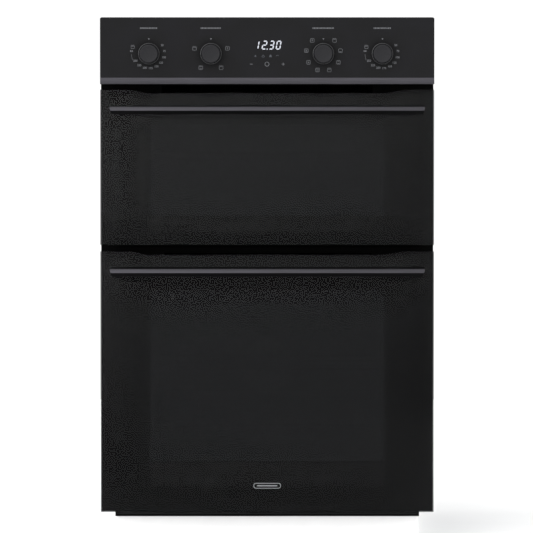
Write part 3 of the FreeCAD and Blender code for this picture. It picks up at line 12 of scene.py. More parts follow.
import bmesh
import bpy
import numpy as np
from numpy.typing import NDArray
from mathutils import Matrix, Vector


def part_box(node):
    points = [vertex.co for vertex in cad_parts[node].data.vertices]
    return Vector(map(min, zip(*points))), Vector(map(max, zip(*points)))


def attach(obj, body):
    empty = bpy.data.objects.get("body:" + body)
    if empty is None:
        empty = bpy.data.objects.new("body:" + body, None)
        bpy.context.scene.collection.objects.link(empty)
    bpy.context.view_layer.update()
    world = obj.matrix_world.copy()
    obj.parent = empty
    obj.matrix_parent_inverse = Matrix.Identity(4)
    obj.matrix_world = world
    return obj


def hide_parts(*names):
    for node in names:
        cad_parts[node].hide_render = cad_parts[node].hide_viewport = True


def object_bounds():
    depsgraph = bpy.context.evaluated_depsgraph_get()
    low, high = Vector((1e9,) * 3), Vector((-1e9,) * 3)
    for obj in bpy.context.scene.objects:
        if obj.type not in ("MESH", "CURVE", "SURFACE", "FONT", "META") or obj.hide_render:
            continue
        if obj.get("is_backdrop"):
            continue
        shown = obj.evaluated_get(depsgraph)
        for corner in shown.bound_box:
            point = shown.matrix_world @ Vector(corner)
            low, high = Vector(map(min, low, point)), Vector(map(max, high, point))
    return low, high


Array = NDArray[np.float64]
MM = 0.001
LOG = logging.getLogger("double_oven")

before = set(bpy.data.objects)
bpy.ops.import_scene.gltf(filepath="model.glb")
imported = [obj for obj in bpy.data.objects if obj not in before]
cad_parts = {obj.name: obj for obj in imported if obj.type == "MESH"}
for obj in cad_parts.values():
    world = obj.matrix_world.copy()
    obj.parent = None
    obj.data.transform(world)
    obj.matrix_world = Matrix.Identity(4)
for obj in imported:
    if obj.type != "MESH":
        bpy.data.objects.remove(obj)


# ------------------------------------------------------------------ colour and nodes


def linear(code: str) -> tuple[float, float, float, float]:
    """Turn an sRGB hex colour into a linear colour.

    Args:
        code: Six hex digits, two for each of red, green and blue.

    Returns:
        Linear red, green, blue and an alpha of one.
    """
    parts = np.array([int(code[i : i + 2], 16) for i in (0, 2, 4)]) / 255
    line = np.where(parts <= 0.04045, parts / 12.92, ((parts + 0.055) / 1.055) ** 2.4)
    return float(line[0]), float(line[1]), float(line[2]), 1.0


def add(
    tree: bpy.types.NodeTree,
    kind: str,
    settings: dict[str, object] | None = None,
    links: dict[str | int, bpy.types.NodeSocket] | None = None,
) -> bpy.types.Node:
    """Add one node to a tree.

    Args:
        tree: The tree that gets the node.
        kind: The node's type name.
        settings: Values for inputs or, where no input has that name, for the node itself.
        links: Sockets to join to the inputs named or numbered by the keys.

    Returns:
        The new node.
    """
    node = tree.nodes.new(kind)
    for name, value in (settings or {}).items():
        if name in node.inputs:
            node.inputs[name].default_value = value
        else:
            setattr(node, name, value)
    for name, source in (links or {}).items():
        tree.links.new(source, node.inputs[name])
    return node


def ranged(
    tree: bpy.types.NodeTree,
    source: bpy.types.NodeSocket,
    start: tuple[float, float],
    end: tuple[float, float],
) -> bpy.types.NodeSocket:
    """Carry a value evenly from one span to another, and hold it at the far span's ends.

    Args:
        tree: The tree that gets the node.
        source: The value.
        start: The span that it comes in.
        end: The span that it leaves in.

    Returns:
        The carried value.
    """
    settings = {"From Min": start[0], "From Max": start[1], "To Min": end[0], "To Max": end[1]}
    return add(tree, "ShaderNodeMapRange", settings, {"Value": source}).outputs[0]


def product(tree: bpy.types.NodeTree, *factors: bpy.types.NodeSocket) -> bpy.types.NodeSocket:
    """Multiply values together, one node for each after the first."""
    total = factors[0]
    for factor in factors[1:]:
        total = add(tree, "ShaderNodeMath", {"operation": "MULTIPLY"}, {0: total, 1: factor}).outputs[0]
    return total


class Pattern(Enum):
    """The texture that a way of making leaves on a surface."""

    CLOUD = "ShaderNodeTexNoise"
    CELLS = "ShaderNodeTexVoronoi"


@dataclass(frozen=True)
class Finish:
    """One finish: what the surface is made of and how it was made.

    The pattern's feature size is a real size in millimetres, and stretch draws it out along
    an axis, as brushing does.
    """

    name: str
    slot: str
    base: str
    second: str
    rough: tuple[float, float] = (0.4, 0.5)
    metallic: float = 0.0
    pattern: Pattern = Pattern.CLOUD
    size: float = 2.0
    stretch: tuple[float, float, float] = (1.0, 1.0, 1.0)
    band: tuple[float, float] = (0.35, 0.65)
    relief: float = 0.0
    extras: dict[str, float] = field(default_factory=dict)

    def material(self) -> bpy.types.Material:
        """Make the material, or return it if it is there already."""
        made = bpy.data.materials.get(self.name)
        if made:
            return made
        made = bpy.data.materials.new(self.name)
        made.use_nodes = True
        tree = made.node_tree
        tree.nodes.clear()
        share, raw = self.share(tree)
        colour = add(tree, "ShaderNodeMix", {"data_type": "RGBA"}, {0: share})
        colour.inputs[6].default_value = linear(self.base)
        colour.inputs[7].default_value = linear(self.second)
        rough = ranged(tree, share, (0.0, 1.0), self.rough)
        links = {"Base Color": colour.outputs[2], "Roughness": rough}
        if self.relief:
            relief = {"Strength": 1.0, "Distance": self.relief * MM}
            links["Normal"] = add(tree, "ShaderNodeBump", relief, {"Height": raw}).outputs[0]
        settings = {"Metallic": self.metallic, **self.extras}
        shader = add(tree, "ShaderNodeBsdfPrincipled", settings, links)
        add(tree, "ShaderNodeOutputMaterial", links={"Surface": shader.outputs[0]})
        return made

    def share(self, tree: bpy.types.NodeTree) -> tuple[bpy.types.NodeSocket, bpy.types.NodeSocket]:
        """Lay the pattern on the object's own coordinates.

        Args:
            tree: The material's node tree.

        Returns:
            How much of the second colour shows, from 0 to 1, and the texture's plain output.
        """
        place = add(tree, "ShaderNodeTexCoord")
        scale = tuple(1 / (self.size * MM * pull) for pull in self.stretch)
        spread = add(tree, "ShaderNodeMapping", {"Scale": scale}, {"Vector": place.outputs["Object"]})
        texture = add(tree, self.pattern.value, {"Scale": 1.0}, {"Vector": spread.outputs[0]})
        if self.pattern is Pattern.CLOUD:
            texture.inputs["Detail"].default_value = 3.0
            source = texture.outputs[0]
        else:
            source = add(tree, "ShaderNodeSeparateColor", links={0: texture.outputs["Color"]}).outputs[0]
        return ranged(tree, source, self.band, (0.0, 1.0)), source


# Polished float glass, backed with black ceramic print: a deep black with a low, clear mirror.
BLACK_GLASS = Finish(
    "float_glass_black_backed", "black_glass", "020203", "030304", (0.045, 0.07), size=60,
    extras={"IOR": 1.5, "Specular IOR Level": 0.13, "Alpha": 0.45},
)
# The fascia's glass is etched to a satin black, so what it mirrors is soft.
SATIN_GLASS = Finish(
    "etched_glass_black", "black_glass", "161617", "18181a", (0.42, 0.48), size=45,
    extras={"IOR": 1.5, "Specular IOR Level": 0.07},
)
# Ceramic ink fired on the back of the door glass: opaque, smooth and nearly black.
FRIT = Finish(
    "ceramic_frit_black", "black_glass", "030304", "040404", (0.06, 0.09), size=40,
    extras={"Specular IOR Level": 0.13},
)
# Clear low-iron glass with a faint heat-mirror coat, which greys what is behind it.
CLEAR_GLASS = Finish(
    "coated_clear_glass", "clear_glass", "1c1e20", "202224", (0.03, 0.05), size=80,
    extras={"IOR": 1.5, "Specular IOR Level": 0.2, "Alpha": 0.14},
)
# A heat-reflecting film fills the window behind the front glass: it lifts the black to a grey.
WINDOW_FILM = Finish(
    "heat_reflecting_film", "clear_glass", "38393b", "3c3d3f", (0.3, 0.35), size=70,
    extras={"Specular IOR Level": 0.1, "Alpha": 0.3},
)
# Aluminium, brushed along its length and anodised a dark blue-grey: drawn-out streaks.
DARK_ALUMINIUM = Finish(
    "anodised_brushed_aluminium", "dark_aluminium", "3a393c", "46454a", (0.30, 0.42),
    metallic=1.0, size=0.6, stretch=(90, 1, 1), relief=0.01,
)
# The handle's underside gets a flat near-black finish as painted shade, standing in for the shade under the
# bar. The handle posts use the same black finish.
LACQUER_AND_UNDERSIDE_SHADE = Finish(
    "black_lacquer_and_painted_underside_shade", "dark_aluminium", "020203", "040405", (0.45, 0.55),
    size=3, extras={"Specular IOR Level": 0.05},
)
# Moulded ABS with a fine spark-eroded grain: dark grey, soft sheen.
KNOB_PLASTIC = Finish(
    "abs_fine_grain_black", "knob_plastic", "131316", "18181b", (0.38, 0.46),
    size=0.35, relief=0.012, extras={"Specular IOR Level": 0.2},
)
# Vacuum-metallised ring at the knob's foot: darkened chrome with a turned grain.
KNOB_RING = Finish(
    "darkened_chrome_on_abs", "knob_plastic", "363637", "404041", (0.20, 0.28),
    metallic=1.0, size=0.8,
)
BLACK_PLASTIC = Finish(
    "glass_filled_nylon_black", "black_plastic", "121214", "18181a", (0.5, 0.6),
    size=0.8, relief=0.02, extras={"Specular IOR Level": 0.3},
)
# Pressed steel under fired black enamel, with the slight orange peel of a sprayed coat.
BLACK_ENAMEL = Finish(
    "black_enamel_on_steel", "black_enamel", "060607", "09090a", (0.28, 0.38),
    size=4, relief=0.03, extras={"Specular IOR Level": 0.22},
)
# Matt near-black enamel, also used as painted shade: the frame, the ducts, the blower wheel and the trim
# lips seen in the gaps between the doors are made this dark so the gaps read as shade.
MATT_ENAMEL_AND_GAP_SHADE = Finish(
    "matt_black_enamel_and_painted_gap_shade", "black_enamel", "020202", "030303", (0.7, 0.8),
    size=4, extras={"Specular IOR Level": 0.04},
)
# Oven enamel: grey-black, glassy, with pale flecks about a millimetre across.
CAVITY_ENAMEL = Finish(
    "speckled_oven_enamel", "cavity_enamel", "33363c", "a4a9b0", (0.22, 0.30),
    pattern=Pattern.CELLS, size=1.6, band=(0.93, 0.96), extras={"Specular IOR Level": 0.4},
)
TRAY_ENAMEL = Finish(
    "speckled_tray_enamel", "tray_enamel", "15171c", "7b828c", (0.18, 0.26),
    pattern=Pattern.CELLS, size=1.3, band=(0.95, 0.97), extras={"Specular IOR Level": 0.5},
)
# Hot-dip galvanised sheet: zinc crystals, each a slightly different grey.
ZINC_STEEL = Finish(
    "galvanised_steel_spangle", "zinc_steel", "8e9296", "9da1a5", (0.40, 0.50),
    metallic=1.0, pattern=Pattern.CELLS, size=9, band=(0.0, 1.0), relief=0.0,
)
HINGE_STEEL = Finish(
    "zinc_plated_hinge_steel", "hinge_steel", "9a9a94", "aeaea6", (0.3, 0.42),
    metallic=1.0, size=1.2,
)
# Heater sheath: nickel alloy, browned and dulled by heat.
ELEMENT_STEEL = Finish(
    "heat_browned_nickel_sheath", "element_steel", "4c463f", "625c55", (0.42, 0.6),
    metallic=0.9, size=5, relief=0.01,
)
CHROMED_WIRE = Finish(
    "chromed_steel_wire", "chromed_wire", "e0e2e4", "e8eaeb", (0.14, 0.24),
    metallic=1.0, size=3,
)
MOTOR_METAL = Finish(
    "zinc_motor_case", "motor_metal", "85888b", "9a9da0", (0.4, 0.5),
    metallic=1.0, size=2,
)
CERAMIC = Finish("steatite_ceramic", "ceramic", "d9d2c2", "e3ddd0", (0.35, 0.5), size=1.5, relief=0.01)
# Woven glass-fibre seal over a wire core: grey, knotty at the size of its plait.
GASKET = Finish(
    "glass_fibre_braid", "gasket_rubber", "3c3c3d", "565657", (0.75, 0.9),
    pattern=Pattern.CELLS, size=1.4, band=(0.1, 0.9), relief=0.2,
)
WOOL = Finish(
    "mineral_wool", "mineral_wool", "b7a77c", "cfc096", (0.9, 1.0),
    size=3, stretch=(3, 3, 1), relief=0.6,
)
# Screen-printed ink on the fascia: a muted grey, flat.
PRINT = Finish(
    "screen_print_grey", "black_plastic", "5c5d60", "616265", (0.5, 0.6), size=5,
    extras={"Specular IOR Level": 0.1},
)
BADGE = Finish(
    "screen_print_silver", "black_plastic", "747678", "7a7c7e", (0.4, 0.5), size=5,
    extras={"Specular IOR Level": 0.2},
)
# The studio's floor, painted a pale flat grey.
PALE_FLOOR = Finish(
    "pale_floor_paint", "", "f2f2f2", "f5f5f5", (0.8, 0.9), size=300,
    extras={"Specular IOR Level": 0.0},
)


@dataclass(frozen=True)
class Glow:
    """Lit display segments: a dark face that gives off light."""

    name: str
    colour: str
    strength: float
    slot: str = "black_plastic"

    def material(self) -> bpy.types.Material:
        """Make the material."""
        made = bpy.data.materials.new(self.name)
        made.use_nodes = True
        made.node_tree.nodes.clear()
        settings = {
            "Base Color": linear("101216"),
            "Emission Color": linear(self.colour),
            "Emission Strength": self.strength,
            "Specular IOR Level": 0.0,
        }
        shader = add(made.node_tree, "ShaderNodeBsdfPrincipled", settings)
        add(made.node_tree, "ShaderNodeOutputMaterial", links={"Surface": shader.outputs[0]})
        return made


# The clock's figures are lit a cool white, and the signs under them glow dimly.
CLOCK_LIGHT = Glow("display_lit_white", "f2f5ff", 0.95)
SIGN_LIGHT = Glow("display_dim_grey", "8d9096", 0.35)


@dataclass(frozen=True)
class PaintedShadeRing:
    """Satin glass darkened by painted shade, as strong at each point as the mesh's own "fade"."""

    name: str = "satin_glass_painted_knob_shade"
    slot: str = "black_plastic"
    clear: str = "171718"
    # The colour of the painted shade at its darkest, next to the knob.
    printed: str = "050506"

    def material(self) -> bpy.types.Material:
        """Make the material, or return it if it is there already."""
        made = bpy.data.materials.get(self.name)
        if made:
            return made
        made = bpy.data.materials.new(self.name)
        made.use_nodes = True
        tree = made.node_tree
        tree.nodes.clear()
        fade = add(tree, "ShaderNodeAttribute", {"attribute_name": "fade"})
        colour = add(tree, "ShaderNodeMix", {"data_type": "RGBA"}, {0: fade.outputs["Fac"]})
        colour.inputs[6].default_value = linear(self.clear)
        colour.inputs[7].default_value = linear(self.printed)
        settings = {"Roughness": 0.45, "IOR": 1.5, "Specular IOR Level": 0.07}
        shader = add(tree, "ShaderNodeBsdfPrincipled", settings, {"Base Color": colour.outputs[2]})
        add(tree, "ShaderNodeOutputMaterial", links={"Surface": shader.outputs[0]})
        return made


Coat = Finish | Glow | PaintedShadeRing


# ------------------------------------------------------------------ surfaces


class Skin:
    """The surfaces of one piece, gathered before they become a mesh. Points are millimetres."""

    def __init__(self) -> None:
        """Start with no surface."""
        self.points: list[Array] = []
        self.faces: list[list[int]] = []
        self.paint: list[int] = []
        self.count = 0

    def grid(
        self,
        points: Array,
        closed_rows: bool = False,
        closed_cols: bool = False,
        keep: NDArray[np.bool_] | None = None,
        paint: int = 0,
    ) -> "Skin":
        """Add a grid of points joined by four-sided faces.

        Args:
            points: An array of rows by columns by three.
            closed_rows: Join the last row to the first.
            closed_cols: Join the last column to the first.
            keep: Which faces stay, by row and column; all of them if left out.
            paint: The material slot of these faces.

        Returns:
            The skin itself.
        """
        rows, cols = points.shape[:2]
        number = np.arange(rows * cols).reshape(rows, cols) + self.count
        if closed_rows:
            number = np.vstack([number, number[:1]])
        if closed_cols:
            number = np.hstack([number, number[:, :1]])
        quads = np.stack([number[:-1, :-1], number[:-1, 1:], number[1:, 1:], number[1:, :-1]], axis=-1)
        chosen = quads[keep] if keep is not None else quads.reshape(-1, 4)
        self.take(points.reshape(-1, 3), chosen.reshape(-1, 4).tolist(), paint)
        return self

    def cap(self, loop: Array, paint: int = 0) -> "Skin":
        """Add one flat face that fills a closed loop of points.

        Args:
            loop: The loop's points, in order.
            paint: The material slot of the face.

        Returns:
            The skin itself.
        """
        self.take(loop, [(np.arange(len(loop)) + self.count).tolist()], paint)
        return self

    def take(self, points: Array, faces: list[list[int]], paint: int) -> None:
        """Keep points and the faces that join them.

        Args:
            points: The new points.
            faces: The faces, numbered over every point kept so far.
            paint: The material slot of the faces.
        """
        self.points.append(points)
        self.faces += faces
        self.paint += [paint] * len(faces)
        self.count += len(points)

    def piece(
        self,
        name: str,
        finishes: list[Coat],
        body: str,
        stands_for: tuple[str, ...] = (),
        shell: bool = True,
        crease: float = 35.0,
    ) -> bpy.types.Object:
        """Make the mesh object, put it on its CAD body and dress it.

        Args:
            name: The piece's name.
            finishes: The finishes, by the number that faces were painted with.
            body: The CAD body that it rides on.
            stands_for: CAD nodes that it replaces.
            shell: Weld its seams and turn its faces outwards, for a closed shape.
            crease: Edges sharper than this many degrees stay sharp.

        Returns:
            The object.
        """
        mesh = bpy.data.meshes.new(name)
        mesh.from_pydata((np.vstack(self.points) * MM).tolist(), [], self.faces)
        for finish in finishes:
            mesh.materials.append(finish.material())
        mesh.polygons.foreach_set("material_index", np.array(self.paint, dtype=np.int32))
        if shell:
            weld(mesh)
        mesh.shade_smooth()
        mesh.set_sharp_from_angle(angle=math.radians(crease))
        sides = np.zeros(len(mesh.polygons), dtype=np.int32)
        mesh.polygons.foreach_get("loop_total", sides)
        mesh.polygons.foreach_set("use_smooth", sides <= 4)
        item = bpy.data.objects.new(name, mesh)
        bpy.context.scene.collection.objects.link(item)
        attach(item, body)
        if stands_for:
            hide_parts(*stands_for)
        LOG.info("%s: %d faces on %s", name, len(mesh.polygons), body)
        return item


def weld(mesh: bpy.types.Mesh) -> None:
    """Merge doubled points and turn every closed shell's faces outwards.

    Args:
        mesh: The mesh to change.
    """
    work = bmesh.new()
    work.from_mesh(mesh)
    bmesh.ops.remove_doubles(work, verts=work.verts, dist=1e-6)
    bmesh.ops.recalc_face_normals(work, faces=work.faces)
    work.to_mesh(mesh)
    work.free()


def rounded_loop(corners: Array, radii: Array | float, steps: int = 6) -> Array:
    """A closed polygon with an arc at each corner.

    The arc's centre lies on the corner's bisector, at the radius over the sine of half the
    corner's angle, and the arc runs between the two touching points.

    Args:
        corners: The polygon's corners, as an array of n by 2.
        radii: One radius for each corner, or one for all.
        steps: Points in each arc.

    Returns:
        The loop's points, as an array of n times steps by 2.
    """
    size = np.broadcast_to(np.asarray(radii, float), (len(corners),))[:, None]
    back = np.roll(corners, 1, axis=0) - corners
    ahead = np.roll(corners, -1, axis=0) - corners
    back = back / np.linalg.norm(back, axis=1, keepdims=True)
    ahead = ahead / np.linalg.norm(ahead, axis=1, keepdims=True)
    half = np.arccos(np.clip((back * ahead).sum(axis=1, keepdims=True), -1, 1)) / 2
    middle = back + ahead
    middle = middle / np.linalg.norm(middle, axis=1, keepdims=True)
    centre = corners + middle * size / np.sin(half)
    touch = corners + back * size / np.tan(half) - centre
    cross = back[:, 0] * ahead[:, 1] - back[:, 1] * ahead[:, 0]
    sweep = (np.pi - 2 * half[:, 0]) * np.where(cross < 0, 1, -1)
    turn = sweep[:, None] * np.linspace(0, 1, steps)[None, :]
    across = touch[:, :1] * np.cos(turn) - touch[:, 1:] * np.sin(turn)
    up = touch[:, :1] * np.sin(turn) + touch[:, 1:] * np.cos(turn)
    return np.stack([centre[:, :1] + across, centre[:, 1:] + up], axis=-1).reshape(-1, 2)


def rectangle(x: tuple[float, float], z: tuple[float, float]) -> Array:
    """The four corners of a rectangle, anticlockwise."""
    return np.array([(x[0], z[0]), (x[1], z[0]), (x[1], z[1]), (x[0], z[1])], float)


def smooth(way: Array) -> Array:
    """A smooth step: three times the square less twice the cube of the way from 0 to 1."""
    return 3 * way**2 - 2 * way**3


def heading(path: Array, closed: bool) -> Array:
    """The direction of a path at each of its points, from the points on either side.

    Args:
        path: The points, one in each row.
        closed: The path's end meets its start.

    Returns:
        One direction of length one for each point.
    """
    along = np.gradient(path, axis=0)
    if closed:
        along = np.roll(path, -1, axis=0) - np.roll(path, 1, axis=0)
    return along / np.maximum(np.linalg.norm(along, axis=1, keepdims=True), 1e-9)


def inward(loop: Array, depth: float) -> Array:
    """Move a closed loop inwards along the normal at each point.

    Args:
        loop: An anticlockwise loop, as n by 2.
        depth: How far each point moves.

    Returns:
        The moved loop.
    """
    along = heading(loop, closed=True)
    return loop + np.stack([-along[:, 1], along[:, 0]], axis=1) * depth


def upright(loop: Array, y: float | Array) -> Array:
    """Stand a flat (x, z) loop up at this depth.

    Args:
        loop: The loop, as n by 2.
        y: Its depth, one number or one for each point.

    Returns:
        The loop as n by 3.
    """
    return np.stack([loop[:, 0], np.broadcast_to(y, (len(loop),)), loop[:, 1]], axis=1)


def slab(skin: Skin, loop: Array, y: tuple[float, float], edge: float = 0.8) -> Skin:
    """Add a flat plate with rounded rims.

    The rim is a quarter circle: at each angle the loop is moved in by the radius times one
    less the sine, and back by the radius times one less the cosine.

    Args:
        skin: The skin that gets the plate.
        loop: Its outline, anticlockwise, as (x, z).
        y: The depths of its front and back.
        edge: The rim's radius.

    Returns:
        The skin.
    """
    turn = np.linspace(0, np.pi / 2, 5)
    rims = list(zip(edge * (1 - np.sin(turn)), edge * (1 - np.cos(turn))))
    front = [upright(inward(loop, inset), y[0] + fall) for inset, fall in rims]
    back = [upright(inward(loop, inset), y[1] - fall) for inset, fall in rims]
    rows = np.stack(front + back[::-1])
    return skin.grid(rows, closed_cols=True).cap(front[0][::-1]).cap(back[0])


def turned(skin: Skin, profile: Array, centre: tuple[float, float], steps: int = 96) -> Skin:
    """Add a profile carried round an axis that runs front to back.

    A point at depth y and radius r goes to x = r times the sine and z = r times the cosine of
    each angle about the centre.

    Args:
        skin: The skin that gets the shape.
        profile: Rows of (y, radius).
        centre: The axis's x and z.
        steps: Points in each ring.

    Returns:
        The skin.
    """
    turn = np.linspace(0, 2 * np.pi, steps, endpoint=False)
    x = centre[0] + profile[:, 1:] * np.sin(turn)
    z = centre[1] + profile[:, 1:] * np.cos(turn)
    y = np.broadcast_to(profile[:, :1], x.shape)
    return skin.grid(np.stack([x, y, z], axis=-1), closed_cols=True)


def tube(skin: Skin, path: Array, radius: float, sides: int) -> Skin:
    """Add a round tube along a closed path that lies in an upright plane facing the front.

    Each ring is the path point plus the radius times the cosine of an angle along the path's
    flat normal, plus the radius times its sine along the depth axis.

    Args:
        skin: The skin that gets the tube.
        path: Points as n by 3, at one depth.
        radius: The tube's radius.
        sides: Points in each ring.

    Returns:
        The skin.
    """
    along = heading(path, closed=True)
    normal = np.stack([-along[:, 2], np.zeros(len(path)), along[:, 0]], axis=1)
    turn = np.linspace(0, 2 * np.pi, sides, endpoint=False)
    ring = np.cos(turn)[None, :, None] * normal[:, None, :]
    ring = ring + np.sin(turn)[None, :, None] * np.array([0.0, 1.0, 0.0])
    rows = path[:, None, :] + radius * ring
    return skin.grid(rows, closed_rows=True, closed_cols=True)


def stroke(skin: Skin, path: Array, width: float, y: float, closed: bool = False) -> Skin:
    """Add a flat printed line that faces the front.

    Args:
        skin: The skin that gets the line.
        path: Its middle line, as n by 2 in (x, z).
        width: Its width.
        y: Its depth.
        closed: The line's end meets its start.

    Returns:
        The skin.
    """
    along = heading(path, closed)
    side = np.stack([-along[:, 1], along[:, 0]], axis=1) * width / 2
    rows = np.stack([upright(path - side, y), upright(path + side, y)], axis=1)
    return skin.grid(rows[::-1], closed_rows=closed)


def arc(centre: tuple[float, float], radius: float, start: float, end: float, steps: int = 24) -> Array:
    """Points along an arc, its angles in degrees clockwise from the top."""
    turn = np.radians(np.linspace(start, end, steps))
    return np.stack([centre[0] + radius * np.sin(turn), centre[1] + radius * np.cos(turn)], axis=1)


def node_box(name: str) -> tuple[Array, Array]:
    """The lowest and highest corners of a CAD node, in millimetres."""
    low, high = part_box(name)
    return np.array(low) / MM, np.array(high) / MM


# ------------------------------------------------------------------ doors


@dataclass
class OvenDoor:
    """One drop-down door: its front glass, the print behind it, and its handle."""

    oven: str
    window: tuple[float, float]
    half_window: float = 210.0
    window_film_gap: float = 0.3
    print_gap: float = 0.4
    print_thickness: float = 0.15
    corner: float = 1.8
    ear_dip: float = 5.9
    ear_start: float = 51.1
    ear_end: float = 88.9
    print_inset: float = 1.5
    border_width: float = 26.0
    slant: float = 3.5
    facet: float = 6.0
    section_radii: tuple[float, ...] = (0.6, 1.2, 0.8, 1.2, 0.6)
    end_rounding: float = 0.9
    half_section: float = 7.5

    @property
    def body(self) -> str:
        """The CAD body that the door's pieces ride on."""
        return f"{self.oven}_door"

    def build(self) -> None:
        """Build every piece of the door."""
        self.glass()
        self.border()
        self.handle()

    def outline(self) -> Array:
        """The door's outline: its top edge dips between raised ends.

        The dip follows a smooth step across the ramp.

        Returns:
            The outline, anticlockwise, as n by 2.
        """
        low, high = node_box(f"{self.oven}_outer_glass")
        half = high[0]
        across = np.linspace(half - self.ear_start, half - self.ear_end, 25)
        fall = self.ear_dip * smooth(np.linspace(0, 1, 25))
        right = np.stack([across, high[2] - fall], axis=1)
        left = (right * (-1, 1))[::-1]
        sides = rounded_loop(rectangle((-half, half), (low[2], high[2])), self.corner)
        lower, upper_right, upper_left = sides[:12], sides[12:18], sides[18:]
        return np.vstack([lower, upper_right, right, left, upper_left])

    def glass(self) -> None:
        """Build the front pane and the black print behind it, open at the window."""
        low, high = node_box(f"{self.oven}_outer_glass")
        outline = self.outline()
        slab(Skin(), outline, (low[1], high[1]), edge=1.0).piece(
            f"{self.oven}_front_pane", [BLACK_GLASS], self.body, (f"{self.oven}_outer_glass",), crease=50
        )
        self.print_frame(low, high)
        window = rectangle((-self.half_window, self.half_window), self.window)
        film = upright(window, high[1] - self.window_film_gap)
        Skin().cap(film).piece(f"{self.oven}_window_film", [WINDOW_FILM], self.body, shell=False)

    def print_frame(self, low: Array, high: Array) -> None:
        """Print the black frame inside the glass, open at the window.

        Four rows of points run from side to side: along the foot, under and over the window,
        and along the dipping top. The middle cell stays open.

        Args:
            low: The glass's lowest corner.
            high: The glass's highest corner.
        """
        half = high[0] - self.print_inset
        ramp = np.linspace(high[0] - self.ear_end, high[0] - self.ear_start, 17)
        x = np.unique(np.concatenate([[self.half_window, half], ramp]))
        x = np.concatenate([-x[::-1], x])
        run = self.ear_end - self.ear_start
        way = np.clip((high[0] - self.ear_start - np.abs(x)) / run, 0, 1)
        top = high[2] - self.print_inset - self.ear_dip * smooth(way)
        heights = [np.full(len(x), z) for z in (low[2] + self.print_inset, *self.window)] + [top]
        y = high[1] - self.print_gap
        rows = np.stack([upright(np.stack([x, z], axis=1), y) for z in heights])
        middle = (x[1:] + x[:-1]) / 2
        keep = np.ones((3, len(middle)), bool)
        keep[1] = np.abs(middle) > self.half_window
        name = f"{self.oven}_glass_print"
        item = Skin().grid(rows, keep=keep).piece(name, [FRIT], self.body, shell=False)
        thickness = item.modifiers.new("thickness", "SOLIDIFY")
        thickness.thickness = self.print_thickness * MM

    def border(self) -> None:
        """Print a black border on the oven's side of the inner pane.

        The border runs from the pane's edge to a smaller rounded rectangle with as many points.
        """
        low, high = node_box(f"{self.oven}_inner_panes")
        spans = []
        for inset, radius in ((1.0, 3.0), (self.border_width, 9.0)):
            sides = rectangle((low[0] + inset, high[0] - inset), (low[2] + inset, high[2] - inset))
            spans.append(upright(rounded_loop(sides, radius, 8), high[1] + 0.05))
        face = np.stack(spans)
        band = np.concatenate([face, face[::-1] + (0, 0.1, 0)])
        skin = Skin().grid(band, closed_rows=True, closed_cols=True)
        skin.piece(f"{self.oven}_inner_pane_border", [FRIT], self.body)

    def handle(self) -> None:
        """Build the handle: a five-sided section with a ridge, its ends cut on a slant.

        The section is carried along x. Near each end it shrinks towards its middle by a
        quarter circle, which rounds the end's edge.
        """
        low, high = node_box(f"{self.oven}_handle_bar")
        middle = (low[2] + high[2]) / 2
        facet = low[1] + self.facet
        corners = np.array(
            [(high[1], high[2]), (facet, high[2]), (low[1], middle), (facet, low[2]), (high[1], low[2])]
        )
        section = rounded_loop(corners, self.section_radii, 5)
        core = np.array([(facet + high[1]) / 2, middle])
        turn = np.linspace(0, np.pi / 2, 5)
        fall = self.end_rounding * (1 - np.sin(turn))
        rise = self.end_rounding * (1 - np.cos(turn))
        inset = np.concatenate([fall, fall[::-1]])
        reach = np.concatenate([rise, -rise[::-1]])
        sign = np.repeat([-1.0, 1.0], len(turn))
        shrink = 1 - inset / self.half_section
        y = core[0] + (section[None, :, 0] - core[0]) * shrink[:, None]
        z = core[1] + (section[None, :, 1] - core[1]) * shrink[:, None]
        half = high[0] - self.slant * (high[2] - z) / (high[2] - low[2])
        x = sign[:, None] * half + reach[:, None]
        rows = np.stack([x, y, z], axis=-1)
        # The faces below the ridge take the near-black finish: painted shade on the handle's underside.
        under = section[:, 1] < middle - 0.2
        keep = np.broadcast_to(under | np.roll(under, -1), (len(rows) - 1, len(section)))
        skin = Skin().grid(rows, closed_cols=True, keep=~keep)
        skin.grid(rows, closed_cols=True, keep=keep, paint=1)
        skin.cap(rows[0]).cap(rows[-1][::-1])
        finishes = [DARK_ALUMINIUM, LACQUER_AND_UNDERSIDE_SHADE]
        skin.piece(f"{self.oven}_handle", finishes, self.body, (f"{self.oven}_handle_bar",), crease=28)


# ------------------------------------------------------------------ fascia


# The knobs, and how wide the caption over each one is.
CAPTION_WIDTHS: dict[str, float] = {
    "upper_temperature": 32,
    "upper_function": 38,
    "lower_function": 39,
    "lower_temperature": 32,
}


